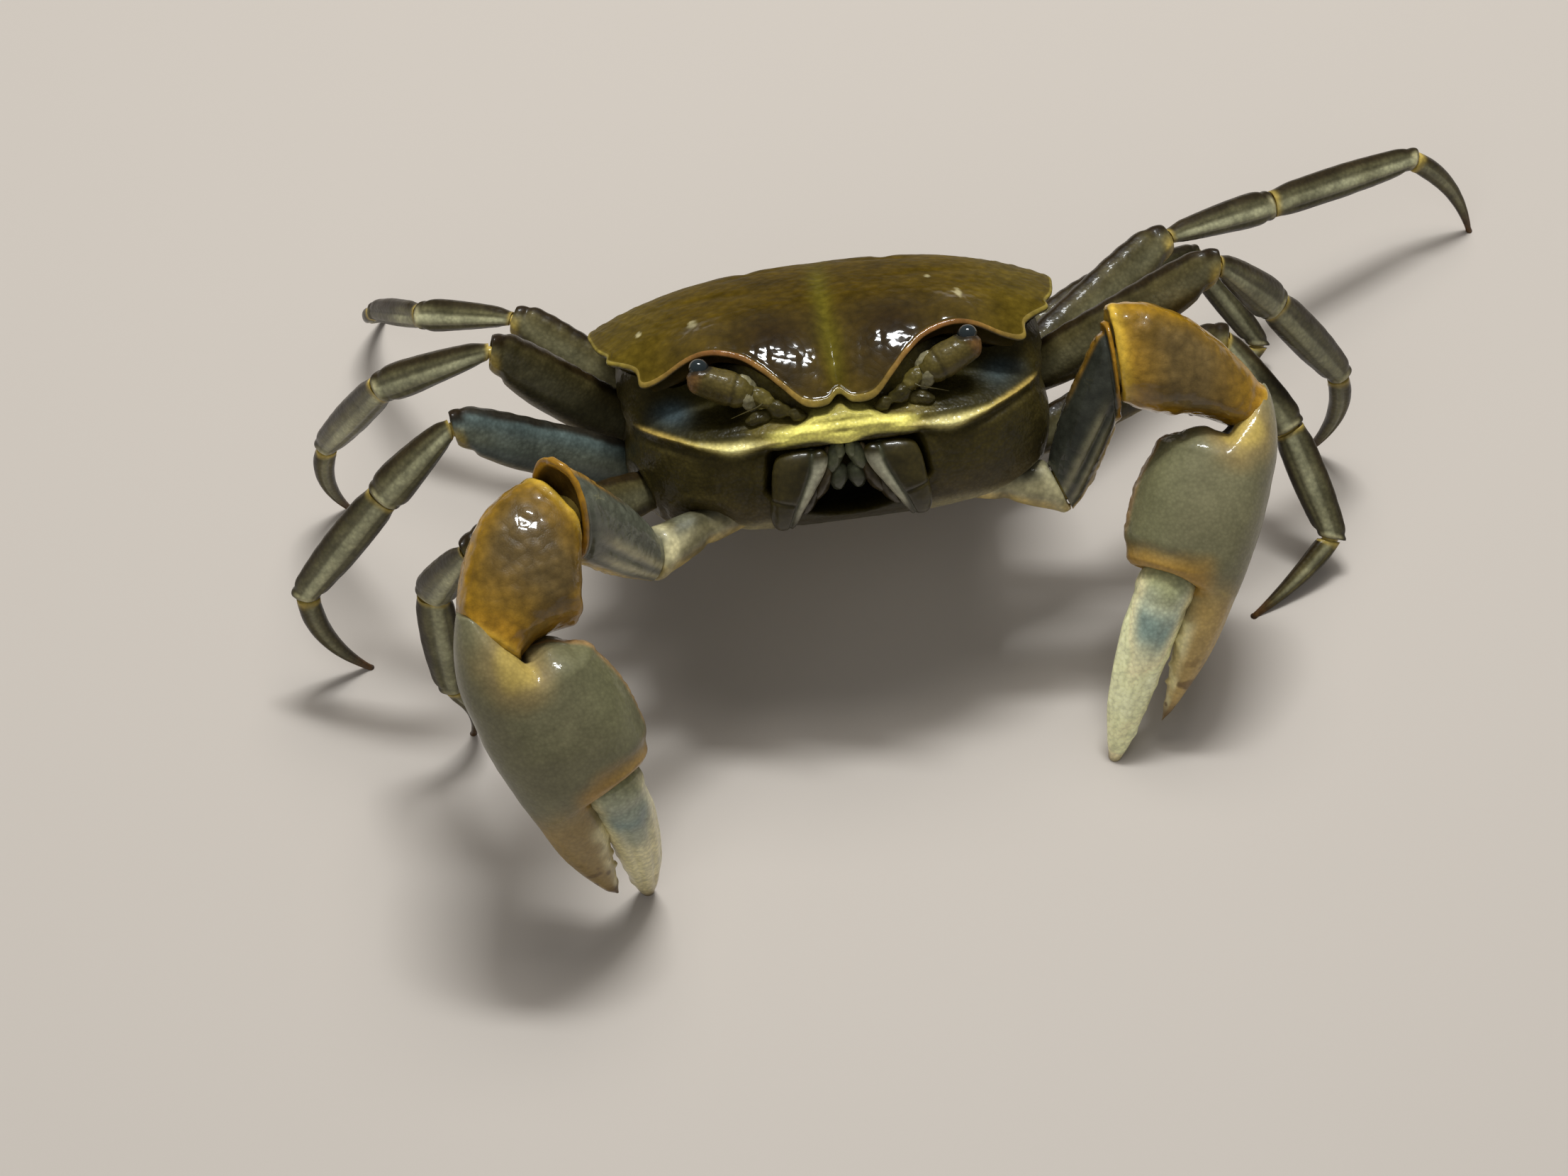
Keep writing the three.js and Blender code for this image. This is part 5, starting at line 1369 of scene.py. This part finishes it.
mesh_piece("abdomen_fine", [on_body(abdomen_shape())], BELLY, ["abdomen"])
for side_name, jaw in zip(SIDE_NAMES.values(), both_sides(maxilliped_shape())):
    name = f"{side_name}_maxilliped"
    mesh_piece(f"{name}_fine", [jaw], BELLY, [name])
mesh_piece("mouthparts", blobs(MOUTH_BLOBS, 61, 0.16), BELLY)
feelers = blobs(ANTENNA_BLOBS, 71, 0.3) + both_sides(whip(ANTENNA_PATH, 0.1, SEPTUM_OLIVE * 0.3))
mesh_piece("antennae", feelers, STALK)


# ---- eyes ------------------------------------------------------------------------------------------
STALK_ROOT = np.array([8.2, -15.95, -3.1])
STALK_END = np.array([12.25, -15.6, -1.35])
STALK_ROWS = [(-0.1, 0.9), (0.15, 1.5), (0.45, 1.6), (0.7, 1.5), (1, 1.36)]   # place and radius
STALK_DOME = (1.12, 1.36)                    # length and radius of its rounded end
STALK_POINTS = (60, 72)
DOME_ROWS = 18
CORNEA_CENTRE = np.array([12.2, -15.6, -0.28])
CORNEA_RADIUS = 0.88


def stalk_shape():
    """Eyestalk with a rounded end and a low collar round the cornea."""
    rows, count = STALK_POINTS
    t = np.linspace(STALK_ROWS[0][0], 1, rows)
    way = unit(STALK_END - STALK_ROOT)
    side = unit(np.cross(way, [0, 1.0, 0]))
    dome = (np.linspace(0.06, 1, DOME_ROWS) * math.pi / 2)[:-1]
    length, end_radius = STALK_DOME
    path = np.concatenate([STALK_ROOT + t[:, None] * (STALK_END - STALK_ROOT),
                           STALK_END + length * np.sin(dome)[:, None] * way])
    radius = np.concatenate([smooth_columns(STALK_ROWS, t)[0], end_radius * np.cos(dome)])
    t = np.concatenate([t, 1 + np.sin(dome) * 0.25])[:, None]
    grid, _, _ = tube(path, side, np.cross(side, way), radius, radius, count)
    grid = raised(grid, 0.07 * clouds(grid, 0.9, 81) - 0.06 * bell(t, 0.28, 0.04))
    to_eye = np.linalg.norm(grid - CORNEA_CENTRE, axis=-1)
    grid = grid + unit(grid - CORNEA_CENTRE) * (0.12 * bell(to_eye, 1.2, 0.2))[..., None]
    colour = layered(grid, STALK_BROWN, [
        (STALK_ORANGE, smooth(0.9, 1.15, t)),
        (SEPTUM_OLIVE * 0.6, smooth(0.45, 0.1, t) * 0.6),
        (SHADE_AND_DARK_MARKS, bell(t, 0.28, 0.05) * 0.5),
        (SHADE_AND_DARK_MARKS, smooth(1.35, 1.0, to_eye) * 0.9),
    ])
    return shape(grid, mottled(colour, grid, 0.2, 1.2, 83))


stalk = stalk_shape()
eye = blob(CORNEA_CENTRE, CORNEA_RADIUS * np.array([1.04, 1, 0.98]), (1, 0.1, 0.2), EYE_DARK, 85, 0.004,
           rows=48, count=64)
for side_name, eyestalk, cornea in zip(SIDE_NAMES.values(), both_sides(stalk), both_sides(eye)):
    mesh_piece(f"{side_name}_eyestalk_fine", [eyestalk], STALK, [f"{side_name}_eyestalk"])
    mesh_piece(f"{side_name}_eye_fine", [cornea], CORNEA, [f"{side_name}_eye"])


# ---- floor, light and camera -----------------------------------------------------------------------
FLOOR_HALF = 1.6                             # metres, like the sizes of the lights
FLOOR_ROUGHNESS = 0.55
FLOOR_SHINE = 0.2
LIGHT_TARGET = (0, -5, 15)
# Name, way it comes from, distance, width and height, power, colour, and whether shells reflect it.
LIGHTS = [
    ("key", (0.05, 0.34, 0.94), 0.7, (0.4, 0.4), 2.6, (1.0, 0.98, 0.95), False),
    ("window", (0.05, 0.30, 0.94), 0.55, (0.18, 0.05), 2.0, (0.95, 0.98, 1.0), True),
    ("front", (-0.35, -0.75, 0.75), 1.0, (0.8, 0.8), 2.0, (0.96, 0.98, 1.0), False),
]
WORLD_COLOUR = (1.0, 0.98, 0.95, 1)
WORLD_STRENGTH = 0.13


def standing(point):
    """A point of the standing frame, in metres, as Blender has it."""
    return Vector(((np.asarray(point, float) - FOOTPRINT_CENTRE) * MM).tolist())


def look_at(piece, target):
    piece.rotation_euler = (target - piece.location).to_track_quat("-Z", "Y").to_euler()


def floor():
    mesh = bpy.data.meshes.new("floor")
    corners = [(x * FLOOR_HALF, y * FLOOR_HALF, 0) for x, y in ((-1, -1), (1, -1), (1, 1), (-1, 1))]
    mesh.from_pydata(corners, [], [(0, 1, 2, 3)])
    piece = new_object("floor", mesh)
    material = bpy.data.materials.new("floor_pale")
    material.use_nodes = True
    shader = material.node_tree.nodes["Principled BSDF"]
    shader.inputs["Base Color"].default_value = (*FLOOR_PALE, 1)
    shader.inputs["Roughness"].default_value = FLOOR_ROUGHNESS
    shader.inputs["Specular IOR Level"].default_value = FLOOR_SHINE
    mesh.materials.append(material)


def soft_light(name, way, distance, size, power, colour, reflected):
    """A soft light of a width and a height that looks at the crab from a way."""
    data = bpy.data.lights.new(name, "AREA")
    data.shape = "RECTANGLE"
    data.size, data.size_y = size
    data.energy = power
    data.color = colour
    light = new_object(name, data)
    light.visible_glossy = reflected
    target = standing(LIGHT_TARGET)
    light.location = target + Vector(unit(way).tolist()) * distance
    look_at(light, target)


def world_light():
    world = bpy.data.worlds.new("studio")
    bpy.context.scene.world = world
    world.use_nodes = True
    background = world.node_tree.nodes["Background"]
    background.inputs["Color"].default_value = WORLD_COLOUR
    background.inputs["Strength"].default_value = WORLD_STRENGTH


def camera():
    data = bpy.data.cameras.new("camera")
    data.lens = LENS
    data.sensor_width = SENSOR
    data.sensor_fit = "HORIZONTAL"
    data.clip_start = 0.01
    piece = new_object("camera", data)
    e, a = math.radians(VIEW_HEIGHT), math.radians(VIEW_SIDE)
    way = np.array([math.sin(a) * math.cos(e), -math.cos(a) * math.cos(e), math.sin(e)])
    piece.location = standing(VIEW_TARGET + way * VIEW_DISTANCE)
    look_at(piece, standing(VIEW_TARGET))
    bpy.context.scene.camera = piece


floor()
for light in LIGHTS:
    soft_light(*light)
world_light()
camera()
bpy.context.scene.view_settings.view_transform = "Standard"
